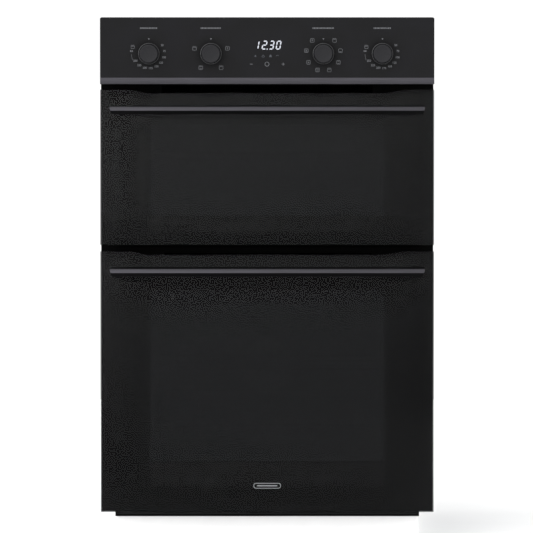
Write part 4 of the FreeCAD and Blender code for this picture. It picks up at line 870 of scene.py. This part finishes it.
@dataclass
class Knob:
    """One rotary knob: a ring at its foot, a tapered grip and a flat cap."""

    name: str
    face_radius: float = 14.9
    chamfer: float = 1.3
    foot_radius: float = 17.0
    ring_inner: float = 16.4
    bead: float = 1.1

    def build(self) -> None:
        """Build the knob in two finishes, one piece for each.

        Each profile is a row of (depth, radius) points from the axis outwards. The cap's edge
        and the ring's bead are quarter circles.
        """
        low, high = node_box(f"{self.name}_knob")
        centre = ((low[0] + high[0]) / 2, (low[2] + high[2]) / 2)
        face, foot, widest = low[1], high[1], (high[0] - low[0]) / 2
        turn = np.linspace(0, np.pi / 2, 7)
        dish = np.array([(0.5, 0.01), (0.5, 6), (0.35, 11), (0.05, 13.8), (0, 14.6)]) + (face, 0)
        quarter = np.stack([1 - np.cos(turn), np.sin(turn)], axis=1)
        edge = quarter * self.chamfer + (face, self.face_radius)
        side = np.array([(face + 5, 16.5), (foot - 5, 16.9)])
        skirt = np.array([(foot - rise, self.foot_radius) for rise in (3.6, 3.0, 1.0)])
        profile = np.vstack([dish, edge, side, skirt, [(foot - 1, 0.01)]])
        body = f"{self.name}_control"
        grip = turned(Skin(), profile, centre)
        grip.piece(f"{self.name}_grip", [KNOB_PLASTIC], body, (f"{self.name}_knob",))
        bead = quarter * self.bead + (foot - 3.2, widest - self.bead)
        inner = [(foot - 1.4, self.ring_inner)]
        step = [(foot - 3.0, 17.15), (foot - 3.2, 17.6)]
        ring = np.vstack([inner, step, bead, [(foot, widest), (foot, self.ring_inner)], inner])
        turned(Skin(), ring, centre, 128).piece(f"{self.name}_foot_ring", [KNOB_RING], body)


# How much of its letter size a figure is tall.
DIGIT_SHARE = 0.72
# The bars of a seven-bar figure, each from one end to the other in a square of side one.
BARS = {
    "a": ((0, 1), (1, 1)),
    "b": ((1, 1), (1, 0.5)),
    "c": ((1, 0.5), (1, 0)),
    "d": ((0, 0), (1, 0)),
    "e": ((0, 0.5), (0, 0)),
    "f": ((0, 1), (0, 0.5)),
    "g": ((0, 0.5), (1, 0.5)),
}
# Half past twelve, in the letters of the bars.
TIME = ("bc", "abged", "abgcd", "abcdef")


class Symbol(Enum):
    """A cooking symbol: lines in a square that runs from minus one to one."""

    TOP_HEAT = (((-0.6, 0.55), (0.6, 0.55)),)
    BOTTOM_HEAT = (((-0.6, -0.55), (0.6, -0.55)),)
    BOTH_HEAT = (((-0.6, 0.55), (0.6, 0.55)), ((-0.6, -0.55), (0.6, -0.55)))
    GRILL = (((-0.7, 0.6), (-0.35, 0.25), (0, 0.6), (0.35, 0.25), (0.7, 0.6)),)
    FULL_GRILL = (
        ((-0.7, 0.6), (-0.35, 0.25), (0, 0.6), (0.35, 0.25), (0.7, 0.6)),
        ((-0.6, -0.55), (0.6, -0.55)),
    )
    FAN = (((-0.45, -0.45), (0.45, 0.45)), ((-0.45, 0.45), (0.45, -0.45)))
    FAN_BOTTOM = (
        ((-0.4, -0.15), (0.4, 0.55)),
        ((-0.4, 0.55), (0.4, -0.15)),
        ((-0.6, -0.6), (0.6, -0.6)),
    )
    LAMP = (((0, -0.5), (0, 0.5)), ((-0.35, 0.1), (0, 0.5), (0.35, 0.1)))


@dataclass
class ControlFascia:
    """The fascia's printed scales and clock, and the brushed strip under it."""

    ink: float = 0.1
    caption_up: float = 45.4
    pointer_up: float = 25.8
    clock_up: float = 7.3
    # Inner and outer radius of the painted shade round each knob.
    shade_radii: tuple[float, float] = (15.0, 33.0)
    figure_turns: tuple[float, float] = (58.0, 242.0)
    figure_reach: float = 28.0
    figure_tall: float = 3.7
    figures: range = range(50, 275, 25)
    symbol_reach: float = 30.8
    key_drop: float = 18.6
    key_x: tuple[float, float] = (-28.3, 28.5)
    key_arm: float = 2.6
    key_line: float = 0.9
    digit: tuple[float, float] = (8.6, 15.9)
    digit_lefts: tuple[float, ...] = (-24.4, -10.4, 2.3, 14.6)
    digit_lean: float = 10.0
    bar_half: float = 1.0
    bar_gap: float = 0.35
    sign_drop: float = 11.4
    strip_radii: tuple[float, ...] = (0.8, 0.2, 0.2, 0.8)
    skin: Skin = field(default_factory=Skin)

    def build(self) -> None:
        """Build the knobs, the painted shade round them, the scales, the clock and the strip."""
        for name in CAPTION_WIDTHS:
            Knob(name).build()
        self.y = node_box("control_fascia")[0][1] - self.ink
        self.paint_knob_shade()
        self.scales()
        self.clock()
        self.strip()

    def paint_knob_shade(self) -> None:
        """Paint a soft ring of shade round each knob: a painted contact shadow on the fascia.

        The painted shade is full at the knob and fades with the square of the way to the outer edge.
        """
        share = np.linspace(0, 1, 9)
        radius = (self.shade_radii[0] + share * (self.shade_radii[1] - self.shade_radii[0]))[:, None]
        turn = np.linspace(0, 2 * np.pi, 64, endpoint=False)[None, :]
        across, up = radius * np.sin(turn), radius * np.cos(turn)
        y = np.full(across.shape, self.y + 0.05)
        skin = Skin()
        for name in CAPTION_WIDTHS:
            x, z = self.centre(name)
            skin.grid(np.stack([x + across, y, z + up], axis=-1)[::-1], closed_cols=True)
        item = skin.piece("knob_painted_shade", [PaintedShadeRing()], "cabinet", shell=False)
        # Painted shade strength: full next to the knob, none at the outer edge.
        fade = np.tile(np.repeat(share**2, across.shape[1]), len(CAPTION_WIDTHS))
        layer = item.data.attributes.new("fade", "FLOAT", "POINT")
        layer.data.foreach_set("value", fade.astype(np.float32))

    def centre(self, name: str) -> tuple[float, float]:
        """Where a knob's axis meets the fascia, as x and z."""
        low, high = node_box(f"{name}_knob")
        return float(low[0] + high[0]) / 2, float(low[2] + high[2]) / 2

    def pointer(self, x: float, z: float) -> None:
        """Print a small triangle that points down at a knob."""
        corners = np.array([(x - 1.7, z + 1.5), (x, z - 1.5), (x + 1.7, z + 1.5)])
        self.skin.cap(upright(corners[::-1], self.y))

    def caption(self, x: float, z: float, width: float) -> None:
        """Print a caption as a row of small neutral marks, with no letters."""
        widths = np.tile([1.7, 2.1, 1.5, 1.9, 1.2], 6)
        gaps = 0.9
        ends = np.cumsum(widths + gaps)
        count = int(np.searchsorted(ends, width))
        start = x - ends[count - 1] / 2
        for end, wide in zip(ends[:count], widths[:count]):
            left = start + end - wide - gaps
            line = np.array([(left, z), (left + wide, z)])
            stroke(self.skin, line, 2.6, self.y)

    def number(self, text: str, x: float, z: float, tall: float) -> None:
        """Print a number centred at a place.

        Args:
            text: The digits.
            x: Its middle, across.
            z: Its middle, up.
            tall: The digits' height.
        """
        curve = bpy.data.curves.new("figures", "FONT")
        curve.body = text
        curve.align_x = "CENTER"
        curve.align_y = "CENTER"
        curve.size = tall / DIGIT_SHARE
        curve.offset = 0.1
        curve.resolution_u = 2
        holder = bpy.data.objects.new("figures", curve)
        bpy.context.scene.collection.objects.link(holder)
        mesh = bpy.data.meshes.new_from_object(holder)
        flat = np.zeros(len(mesh.vertices) * 3)
        mesh.vertices.foreach_get("co", flat)
        flat = flat.reshape(-1, 3)
        points = np.stack([flat[:, 0] + x, np.full(len(flat), self.y), flat[:, 1] + z], axis=1)
        faces = [[v + self.skin.count for v in face.vertices] for face in mesh.polygons]
        self.skin.take(points, faces, 0)
        bpy.data.objects.remove(holder)
        bpy.data.meshes.remove(mesh)
        bpy.data.curves.remove(curve)

    def symbol(self, kind: Symbol, x: float, z: float, size: float = 7.4) -> None:
        """Print a rounded square with a cooking symbol's lines inside it.

        Args:
            kind: The symbol.
            x: Its middle, across.
            z: Its middle, up.
            size: The square's side.
        """
        half = size / 2
        box = rounded_loop(rectangle((x - half, x + half), (z - half, z + half)), 1.2, 4)
        stroke(self.skin, box, 0.6, self.y, closed=True)
        for line in kind.value:
            path = np.array(line) * half + (x, z)
            stroke(self.skin, path, 0.7, self.y)

    def scales(self) -> None:
        """Print the pointers, the captions, the temperature figures and the cooking symbols."""
        for name, width in CAPTION_WIDTHS.items():
            x, z = self.centre(name)
            self.pointer(x, z + self.pointer_up)
            self.caption(x, z + self.caption_up, width)
            if name.endswith("temperature"):
                self.temperatures(x, z)
            elif name == "lower_function":
                self.symbols(x, z, list(Symbol))
            else:
                self.symbols(x, z, [Symbol.LAMP, Symbol.TOP_HEAT, Symbol.BOTH_HEAT, Symbol.GRILL])
        self.touch_keys()
        self.skin.piece("fascia_print", [PRINT], "cabinet", shell=False)

    def temperatures(self, x: float, z: float) -> None:
        """Print a temperature knob's figures, and its grill symbol at the end of an arc.

        The figures' distance from the knob falls below it with the cosine of the angle.

        Args:
            x: The knob's middle, across.
            z: The knob's middle, up.
        """
        turns = np.radians(np.linspace(*self.figure_turns, len(self.figures)))
        reach = self.figure_reach - 1.8 * np.clip(-np.cos(turns), 0, 1)
        for number, turn, r in zip(self.figures, turns, reach):
            self.number(str(number), x + r * math.sin(turn), z + r * math.cos(turn), self.figure_tall)
        stroke(self.skin, arc((x, z), 31, 248, 268), 0.5, self.y)
        self.symbol(Symbol.GRILL, x - 28.6, z + 12, 6.0)
        self.caption(x - 30.5, z + 4.6, 6)

    def symbols(self, x: float, z: float, kinds: list[Symbol]) -> None:
        """Print cooking symbols evenly round a function knob, with the top place left free.

        Args:
            x: The knob's middle, across.
            z: The knob's middle, up.
            kinds: The symbols, clockwise.
        """
        for number, kind in enumerate(kinds, start=1):
            turn = math.radians(360 / (len(kinds) + 1) * number)
            across, up = math.sin(turn), math.cos(turn)
            self.symbol(kind, x + self.symbol_reach * across, z + self.symbol_reach * up, 6.6)

    def touch_keys(self) -> None:
        """Print the minus, ring and plus of the touch keys under the clock."""
        z = self.centre("upper_function")[1] - self.key_drop
        arm, line = self.key_arm, self.key_line
        for x in self.key_x:
            stroke(self.skin, np.array([(x - arm, z), (x + arm, z)]), line, self.y)
        x = self.key_x[1]
        stroke(self.skin, np.array([(x, z - arm), (x, z + arm)]), line, self.y - 0.02)
        stroke(self.skin, arc((-0.4, z), 3.6, 0, 352.5, 48), line, self.y, closed=True)

    def clock(self) -> None:
        """Build the lit clock: slanted seven-bar figures, a dot, and the signs below."""
        foot = self.centre("upper_function")[1] + self.clock_up
        lit = Skin()
        for shape, left in zip(TIME, self.digit_lefts):
            for key in shape:
                bar = self.bar(np.array(BARS[key], float)) + (left, foot)
                lit.cap(upright(bar, self.y))
        dot = rounded_loop(rectangle((-1.0, 0.9), (foot - 0.1, foot + 1.8)), 0.4, 4)
        lit.cap(upright(dot, self.y))
        lit.piece("clock_figures", [CLOCK_LIGHT], "cabinet", shell=False)
        self.signs(foot - self.sign_drop)

    def bar(self, ends: Array) -> Array:
        """One bar of a figure: a long hexagon that leans with the figure.

        Args:
            ends: The bar's ends, in a square of side one.

        Returns:
            The hexagon, as 6 by 2, from the figure's lower left corner.
        """
        ends = ends * (np.array(self.digit) - 2 * self.bar_half) + self.bar_half
        along = (ends[1] - ends[0]) / np.linalg.norm(ends[1] - ends[0])
        a, b = ends[0] + along * self.bar_gap, ends[1] - along * self.bar_gap
        step = along * self.bar_half
        side = np.array([-step[1], step[0]])
        loop = np.array([a, a + step - side, b - step - side, b, b - step + side, a + step + side])
        loop[:, 0] += loop[:, 1] * math.tan(math.radians(self.digit_lean))
        return loop

    def signs(self, z: float) -> None:
        """Print two bells, a triangle with a foot and an arc in a row at this height."""
        signs = Skin()
        bell = np.array([(-2.6, -2), (2.6, -2), (1.8, 0), (1.2, 2.2), (-1.2, 2.2), (-1.8, 0)])
        for x, size in ((-20.9, 0.75), (5.9, 1.05)):
            signs.cap(upright(bell * size + (x, z), self.y))
        stroke(signs, np.array([(-9.8, z - 1.4), (-7.1, z + 1.9), (-4.4, z - 1.4)]), 1.0, self.y)
        stroke(signs, np.array([(-9.0, z - 2.0), (-5.2, z - 2.0)]), 0.8, self.y)
        stroke(signs, arc((18.4, z - 1), 2.4, -80, 60), 0.8, self.y)
        signs.piece("clock_signs", [SIGN_LIGHT], "cabinet", shell=False)

    def strip(self) -> None:
        """Build the brushed channel's front as a bar with rounded edges.

        The channel's section, a flat front with a quarter-round at top and bottom, is carried
        along x from end to end.
        """
        low, high = node_box("fascia_strip")
        section = rounded_loop(
            rectangle((low[1], high[1]), (low[2], high[2])), self.strip_radii, 5
        )
        x = np.array([low[0], low[0] + 0.4, high[0] - 0.4, high[0]])
        shrink = np.array([0.95, 1, 1, 0.95])
        core = section.mean(axis=0)
        flat = core + (section[None] - core) * shrink[:, None, None]
        across = np.broadcast_to(x[:, None, None], (len(x), len(section), 1))
        rows = np.concatenate([across, flat], axis=-1)
        skin = Skin().grid(rows, closed_cols=True).cap(rows[0]).cap(rows[-1][::-1])
        skin.piece("brushed_strip", [DARK_ALUMINIUM], "cabinet", ("fascia_strip",))


@dataclass
class Badge:
    """A plain silver mark low on the main door, with no letters."""

    half: float = 24.0
    tall: float = 8.8
    line: float = 1.1
    z: float = 58.2

    def build(self) -> None:
        """Print an outlined bar with a short bar inside it."""
        y = node_box("lower_outer_glass")[0][1] - 0.1
        up = (self.z - self.tall / 2, self.z + self.tall / 2)
        loop = rounded_loop(rectangle((-self.half, self.half), up), 4.0, 8)
        skin = stroke(Skin(), loop, self.line, y, closed=True)
        inside = self.half - 6
        stroke(skin, np.array([(-inside, self.z), (inside, self.z)]), self.line * 2, y)
        skin.piece("plain_badge", [BADGE], "lower_door", shell=False)


# ------------------------------------------------------------------ seals and frame parts


@dataclass
class Seals:
    """The braided seal round each oven's mouth."""

    outset: float = 5.0
    corner: float = 18.0

    def build(self) -> None:
        """Carry a round section along a rounded rectangle at each mouth."""
        skin = Skin()
        low, high = node_box("door_gaskets")
        middle, radius = (low[1] + high[1]) / 2, (high[1] - low[1]) / 2
        for oven in ("upper", "lower"):
            cavity_low, cavity_high = node_box(f"{oven}_cavity")
            x = cavity_high[0] + self.outset
            up = (cavity_low[2] - self.outset, cavity_high[2] + self.outset)
            loop = rounded_loop(rectangle((-x, x), up), self.corner, 10)
            tube(skin, upright(loop, middle), radius, 14)
        skin.piece("mouth_seals", [GASKET], "cabinet", ("door_gaskets",))


@dataclass(frozen=True)
class Press:
    """A rectangle pressed into a sheet: its spans, its depth and the width of its sloping rim."""

    across: tuple[float, float]
    up: tuple[float, float]
    depth: float = 2.0
    rim: float = 10.0

    def fall(self, u: Array, v: Array) -> Array:
        """How deep the sheet lies at each point.

        The depth is multiplied by a smooth step across the rim at each of the four sides.

        Args:
            u: Places across.
            v: Places up.

        Returns:
            The depth at each place.
        """
        depth = np.full(np.broadcast(u, v).shape, self.depth)
        for way in (u - self.across[0], self.across[1] - u, v - self.up[0], self.up[1] - v):
            depth = depth * smooth(np.clip(way / self.rim, 0, 1))
        return depth


@dataclass(frozen=True)
class Sheet:
    """A pressed sheet with slots: its spans, its presses and its slots, all across and up."""

    across: tuple[float, float]
    up: tuple[float, float]
    presses: tuple[Press, ...] = ()
    slots: tuple[tuple[tuple[float, float], tuple[float, float]], ...] = ()

    def lines(self, axis: int) -> Array:
        """The grid's lines along one axis: even ones, each slot's edges and each rim's.

        Args:
            axis: 0 for the lines across, 1 for the lines up.

        Returns:
            The places of the lines, in order.
        """
        span = (self.across, self.up)[axis]
        places = [np.linspace(*span, 25)]
        for press in self.presses:
            low, high = (press.across, press.up)[axis]
            steps = np.linspace(0, press.rim, 5)
            places += [low + steps, high - steps]
        places += [np.array(slot[axis]) for slot in self.slots]
        return np.unique(np.round(np.clip(np.concatenate(places), *span), 3))

    def surface(self) -> tuple[Array, Array, Array, NDArray[np.bool_]]:
        """Lay out the sheet: places across, places up, depths, and which faces stay."""
        u, v = np.meshgrid(self.lines(0), self.lines(1))
        depth = sum((press.fall(u, v) for press in self.presses), np.zeros(u.shape))
        middle_u = (u[1:, 1:] + u[:-1, :-1]) / 2
        middle_v = (v[1:, 1:] + v[:-1, :-1]) / 2
        keep = np.ones(middle_u.shape, bool)
        for (u0, u1), (v0, v1) in self.slots:
            keep &= ~((middle_u > u0) & (middle_u < u1) & (middle_v > v0) & (middle_v < v1))
        return u, v, depth, keep


@dataclass
class Casing:
    """The galvanised casing: two side sheets, the lid and the back, pressed stiff and slotted."""

    gauge: float = 1.2
    slot: float = 5.0
    side_slots: int = 6
    side_pitch: float = 15.0
    side_drop: float = 145.0
    side_reach: tuple[float, float] = (150.0, 70.0)
    hood: float = 8.0
    rib: float = 20.0
    lid_slots: int = 14
    lid_span: tuple[float, float] = (-75.0, 70.0)
    lid_half: float = 35.0
    back_slots: int = 7
    back_pitch: float = 14.0
    back_drop: float = 175.0
    back_half: float = 60.0
    field_side: float = 230.0
    head: float = 4.0
    shank: float = 1.75
    dome: float = 1.3

    def build(self) -> None:
        """Build the sheets and the screws of the back."""
        self.sides()
        self.lid()
        self.back()
        self.screws()

    def finish(self, skin: Skin, name: str, stands_for: tuple[str, ...]) -> None:
        """Make a sheet's mesh and give it its thickness, inwards."""
        item = skin.piece(name, [ZINC_STEEL], "cabinet", stands_for, shell=False, crease=50)
        thickness = item.modifiers.new("thickness", "SOLIDIFY")
        thickness.thickness = self.gauge * MM
        thickness.offset = -1.0

    def sides(self) -> None:
        """Build the two side sheets: x is the half width less the pressed depth."""
        low, high = node_box("side_panels")
        rear = node_box("casing_screws")[1][1]
        top = node_box("top_cover")[1][2]
        span = (rear - self.side_reach[0], rear - self.side_reach[1])
        starts = top - self.side_drop + self.side_pitch * np.arange(self.side_slots)
        slots = tuple((span, (z, z + self.slot)) for z in starts)
        hoods = tuple(Press(span, (up[1], up[1] + self.hood), -2.0, 3.0) for _, up in slots)
        panel = (low[1] + 40, rear - 180)
        ribs = ((span[0], span[0] + self.rib), (span[1] - self.rib, span[1]))
        fields = (
            *(Press(panel, up, 2.5, 12) for up in ((90, 400), (460, 700))),
            *(Press(rib, (90, 640), 2.5, 8) for rib in ribs),
        )
        sheet = Sheet((low[1], high[1]), (low[2], high[2]), fields + hoods, slots)
        u, v, depth, keep = sheet.surface()
        right = np.stack([high[0] - depth, u, v], axis=-1)
        left = (right * (-1, 1, 1))[:, ::-1]
        skin = Skin().grid(right, keep=keep).grid(left, keep=keep[:, ::-1])
        self.finish(skin, "side_sheets", ("side_panels",))

    def lid(self) -> None:
        """Build the lid: z is its top less the pressed depth."""
        low, high = node_box("top_cover")
        wheel_low, wheel_high = node_box("blower_impeller")
        middle = (wheel_low[1] + wheel_high[1]) / 2
        grille = (middle - self.lid_half, middle + self.lid_half)
        starts = np.linspace(*self.lid_span, self.lid_slots)
        slots = tuple(((x, x + self.slot), grille) for x in starts)
        side = self.field_side
        beside = (middle - 40, high[1] - 30)
        fields = (
            Press((-side, side), (low[1] + 30, middle - 60), 2.0, 12),
            Press((-side, -110), beside, 2.0, 12),
            Press((110, side), beside, 2.0, 12),
        )
        u, v, depth, keep = Sheet((low[0], high[0]), (low[1], high[1]), fields, slots).surface()
        skin = Skin().grid(np.stack([u, v, high[2] - depth], axis=-1), keep=keep)
        self.finish(skin, "lid_sheet", ("top_cover",))

    def back(self) -> None:
        """Build the back: y is its face less the pressed depth, with a hood over each slot."""
        low, high = node_box("rear_panel")
        fan_low, fan_high = node_box("convection_fan")
        fan_z = (fan_low[2] + fan_high[2]) / 2
        top = node_box("top_cover")[1][2]
        rows_up = self.back_pitch * np.arange(self.back_slots)
        starts = np.concatenate([fan_z - rows_up[-1] / 2 + rows_up, top - self.back_drop + rows_up])
        slots = tuple(((-self.back_half, self.back_half), (z, z + self.slot)) for z in starts)
        side = self.field_side
        fields = (
            Press((-side, -85), (120, 660), 2.0, 14),
            Press((85, side), (120, 660), 2.0, 14),
            Press((-60, 60), (380, 600), 2.0, 14),
        )
        u, v, depth, keep = Sheet((low[0], high[0]), (low[2], high[2]), fields, slots).surface()
        rows = np.stack([u, high[1] - depth, v], axis=-1)[:, ::-1]
        self.finish(Skin().grid(rows, keep=keep[:, ::-1]), "back_sheet", ("rear_panel",))

    def screws(self) -> None:
        """Build the pan-head screws of the back, each with a cross recess.

        The head is a disc of rings. Its height falls with the square of the radius, and drops
        by the recess where the smaller of the sideways and upward distances is small.
        """
        low, high = node_box("casing_screws")
        face = node_box("rear_panel")[1][1]
        head, shank = self.head, self.shank
        radius = np.concatenate([np.linspace(0.01, 2.6, 9), np.linspace(2.9, head, 5)])[:, None]
        turn = np.linspace(0, 2 * np.pi, 48, endpoint=False)[None, :]
        across, up = radius * np.sin(turn), radius * np.cos(turn)
        arm = np.clip((0.75 - np.minimum(np.abs(across), np.abs(up))) / 0.4, 0, 1)
        recess = 1.1 * arm * np.clip((2.7 - radius) / 0.5, 0, 1)
        crown = high[1] - self.dome * (radius / head) ** 2 - recess
        depths = (high[1] - self.dome, face, face, low[1], low[1])
        skirt = np.stack([depths, (head, head, shank, shank, 0.01)], axis=1)
        skin = Skin()
        for x in (low[0] + head, high[0] - head):
            for z in np.linspace(low[2] + head, high[2] - head, 4):
                skin.grid(np.stack([across + x, crown, up + z], axis=-1), closed_cols=True)
                turned(skin, skirt, (x, z), 48)
        skin.piece("pan_head_screws", [HINGE_STEEL], "cabinet", ("casing_screws",))


@dataclass
class TrimLips:
    """The pressed strip under each door: a rolled front edge and ends cut on a slant."""

    height: float = 8.0
    flare: float = 2.0
    roll: float = 3.0

    def build(self) -> None:
        """Carry the section along x: a quarter round on top of a flat front.

        Each row of the section ends at a reach that falls evenly with height, so the ends slant.
        """
        low, high = node_box("trim_lips")
        turn = np.linspace(0, np.pi / 2, 7)
        y = np.concatenate([[high[1], low[1], low[1]], low[1] + self.roll * (1 - np.cos(turn)), [high[1]]])
        rolled = self.height - self.roll * (1 - np.sin(turn))
        z = np.concatenate([[0, 0, self.height / 2], rolled, [self.height]])
        reach = high[0] - 2 * self.flare * z / self.height
        x = np.linspace(-1, 1, 25)[:, None] * reach[None, :]
        # Faces below half the lip's height take the matt finish: painted shade on the lip's lower front and
        # underside.
        above = np.broadcast_to(np.roll(z, -1) > self.height / 2, (len(x) - 1, len(z)))
        # The upper lip sits in the gap between the doors, so its rolled nose is matt as painted shade; the
        # lower lip's nose is glossy enamel.
        for oven, foot, nose, stands_for in (
            ("upper", high[2] - self.height, MATT_ENAMEL_AND_GAP_SHADE, ()),
            ("lower", low[2], BLACK_ENAMEL, ("trim_lips",)),
        ):
            up = np.broadcast_to(z + foot, x.shape)
            rows = np.stack([x, np.broadcast_to(y, x.shape), up], axis=-1)
            skin = Skin().grid(rows, closed_cols=True, keep=above)
            skin.grid(rows, closed_cols=True, keep=~above, paint=1)
            skin.cap(rows[0][::-1], 1).cap(rows[-1], 1)
            skin.piece(f"{oven}_trim_lip", [nose, MATT_ENAMEL_AND_GAP_SHADE], "cabinet", stands_for)


NODE_FINISHES: dict[str, Finish] = {
    "base_pan": ZINC_STEEL,
    # The frame, the ducts and the blower wheel seen through the door gaps take the matt finish as painted
    # shade.
    "front_frame": MATT_ENAMEL_AND_GAP_SHADE,
    "upper_cavity": CAVITY_ENAMEL,
    "lower_cavity": CAVITY_ENAMEL,
    "cavity_insulation": WOOL,
    "top_air_duct": MATT_ENAMEL_AND_GAP_SHADE,
    "middle_air_duct": MATT_ENAMEL_AND_GAP_SHADE,
    "blower_motor": MOTOR_METAL,
    "blower_impeller": MATT_ENAMEL_AND_GAP_SHADE,
    "fan_motor": MOTOR_METAL,
    "convection_fan": HINGE_STEEL,
    "fan_baffle": CAVITY_ENAMEL,
    "ring_element": ELEMENT_STEEL,
    "grill_elements": ELEMENT_STEEL,
    "base_elements": ELEMENT_STEEL,
    "lamp_holders": CERAMIC,
    "lamp_lenses": CLEAR_GLASS,
    "temperature_probes": HINGE_STEEL,
    "shelf_guides": CHROMED_WIRE,
    "control_fascia": SATIN_GLASS,
    "fascia_carrier": ZINC_STEEL,
    "timer_module": BLACK_PLASTIC,
    "function_selectors": CERAMIC,
    "thermostats": HINGE_STEEL,
    "terminal_block": BLACK_PLASTIC,
    "hinge_arms": HINGE_STEEL,
    "hinge_pins": HINGE_STEEL,
    "hinge_cassettes": HINGE_STEEL,
    "upper_wire_shelf": CHROMED_WIRE,
    "lower_wire_shelf": CHROMED_WIRE,
    "baking_tray": TRAY_ENAMEL,
}


DOOR_FINISHES: dict[str, Finish] = {
    "inner_panes": CLEAR_GLASS,
    "door_stiles": BLACK_ENAMEL,
    "door_rails": BLACK_ENAMEL,
    "handle_posts": LACQUER_AND_UNDERSIDE_SHADE,
    "hinge_housings": HINGE_STEEL,
}


def dress_nodes() -> None:
    """Give every CAD node that still shows its own finish."""
    finishes = dict(NODE_FINISHES)
    for knob in CAPTION_WIDTHS:
        finishes[f"{knob}_spindle"] = HINGE_STEEL
    for oven in ("upper", "lower"):
        for part, finish in DOOR_FINISHES.items():
            finishes[f"{oven}_{part}"] = finish
    for name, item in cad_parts.items():
        if item.hide_render or name not in finishes:
            continue
        item.data.materials.clear()
        item.data.materials.append(finishes[name].material())
        item.data.shade_smooth()
        item.data.set_sharp_from_angle(angle=math.radians(30))
        LOG.info("%s: dressed as %s", name, finishes[name].name)


# ------------------------------------------------------------------ studio


@dataclass
class Studio:
    """The pale floor, the soft light all round, and the camera."""

    distance: float = 9.5
    rise: float = 3.04
    aim: tuple[float, float, float] = (-0.0012, -0.2605, 0.4504)
    view_width: float = 0.95007
    floor_radius: float = 3000.0
    floor_drop: float = 40.0
    riser_gap: float = 0.1
    sensor: float = 36.0

    def build(self) -> None:
        """Build the floor, the light and the camera."""
        self.floor()
        self.light()
        self.camera()
        bpy.context.scene.view_settings.view_transform = "Standard"

    def floor(self) -> None:
        """Lay a wide pale disc, and a low pale riser that the oven's body stands on."""
        turn = np.linspace(0, 2 * np.pi, 96, endpoint=False)
        level = np.full(len(turn), -self.floor_drop)
        ring = np.stack([np.cos(turn) * self.floor_radius, np.sin(turn) * self.floor_radius, level], axis=1)
        low, high = node_box("base_pan")
        loop = rounded_loop(rectangle((low[0], high[0]), (low[1], high[1])), 4)
        top = np.column_stack([loop, np.full(len(loop), -self.riser_gap)])
        foot = top - (0, 0, self.floor_drop - self.riser_gap)
        for name, skin in (
            ("floor", Skin().cap(ring)),
            ("riser", Skin().grid(np.stack([top, foot]), closed_cols=True).cap(top)),
        ):
            mesh = bpy.data.meshes.new(name)
            mesh.from_pydata((np.vstack(skin.points) * MM).tolist(), [], skin.faces)
            mesh.materials.append(PALE_FLOOR.material())
            item = bpy.data.objects.new(name, mesh)
            bpy.context.scene.collection.objects.link(item)
            item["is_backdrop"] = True

    def light(self) -> None:
        """Light the scene from all round, brighter from the cook's side and from their left.

        The world's brightness is read from the direction: white behind the oven, and in front
        a soft panel that fades downwards and to the right.
        """
        world = bpy.data.worlds.new("soft_studio")
        bpy.context.scene.world = world
        world.use_nodes = True
        tree = world.node_tree
        tree.nodes.clear()
        place = add(tree, "ShaderNodeTexCoord")
        split = add(tree, "ShaderNodeSeparateXYZ", links={0: place.outputs["Generated"]})
        x, y, z = split.outputs["X"], split.outputs["Y"], split.outputs["Z"]
        fade_down = ranged(tree, z, (-0.1, 0.0), (0.87, 2.75))
        fade_up = ranged(tree, z, (0.0, 0.05), (1.0, 0.74))
        narrow = ranged(tree, x, (-0.035, 0.035), (1.14, 0.86))
        broad = ranged(tree, x, (-0.5, 0.5), (1.18, 0.82))
        panel = product(tree, fade_down, fade_up, narrow, broad)
        ahead = ranged(tree, y, (-0.2, 0.1), (1.0, 0.0))
        over_floor = ranged(tree, z, (-0.19, -0.12), (0.0, 1.0))
        share = product(tree, ahead, over_floor)
        mixed = add(tree, "ShaderNodeMix", {"data_type": "FLOAT"}, {0: share, 3: panel})
        mixed.inputs[2].default_value = 1.05
        shade = add(tree, "ShaderNodeBackground", {"Color": (1, 1, 1, 1)}, {"Strength": mixed.outputs[0]})
        add(tree, "ShaderNodeOutputWorld", links={"Surface": shade.outputs[0]})

    def camera(self) -> None:
        """Stand the camera straight in front, a little above, with a long lens."""
        data = bpy.data.cameras.new("view")
        data.sensor_width = self.sensor
        data.lens = self.sensor * self.distance / self.view_width
        data.clip_end = 200
        item = bpy.data.objects.new("view", data)
        bpy.context.scene.collection.objects.link(item)
        rise = math.radians(self.rise)
        back = np.array([0, -math.cos(rise), math.sin(rise)]) * self.distance
        item.location = np.array(self.aim) + back
        item.rotation_euler = (math.radians(90 - self.rise), 0, 0)
        bpy.context.scene.camera = item


def corners() -> list[list[float]]:
    """The object's lowest and highest corners now, as plain lists."""
    return [list(corner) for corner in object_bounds()]


def main() -> None:
    """Build the oven's pieces, dress the frame and light the studio."""
    logging.basicConfig(level=logging.INFO, format="%(message)s")
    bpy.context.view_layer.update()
    OvenDoor("upper", (540.3, 712.0)).build()
    OvenDoor("lower", (101.5, 409.0)).build()
    ControlFascia().build()
    Badge().build()
    Seals().build()
    TrimLips().build()
    Casing().build()
    dress_nodes()
    Studio().build()


if __name__ == "__main__":
    main()
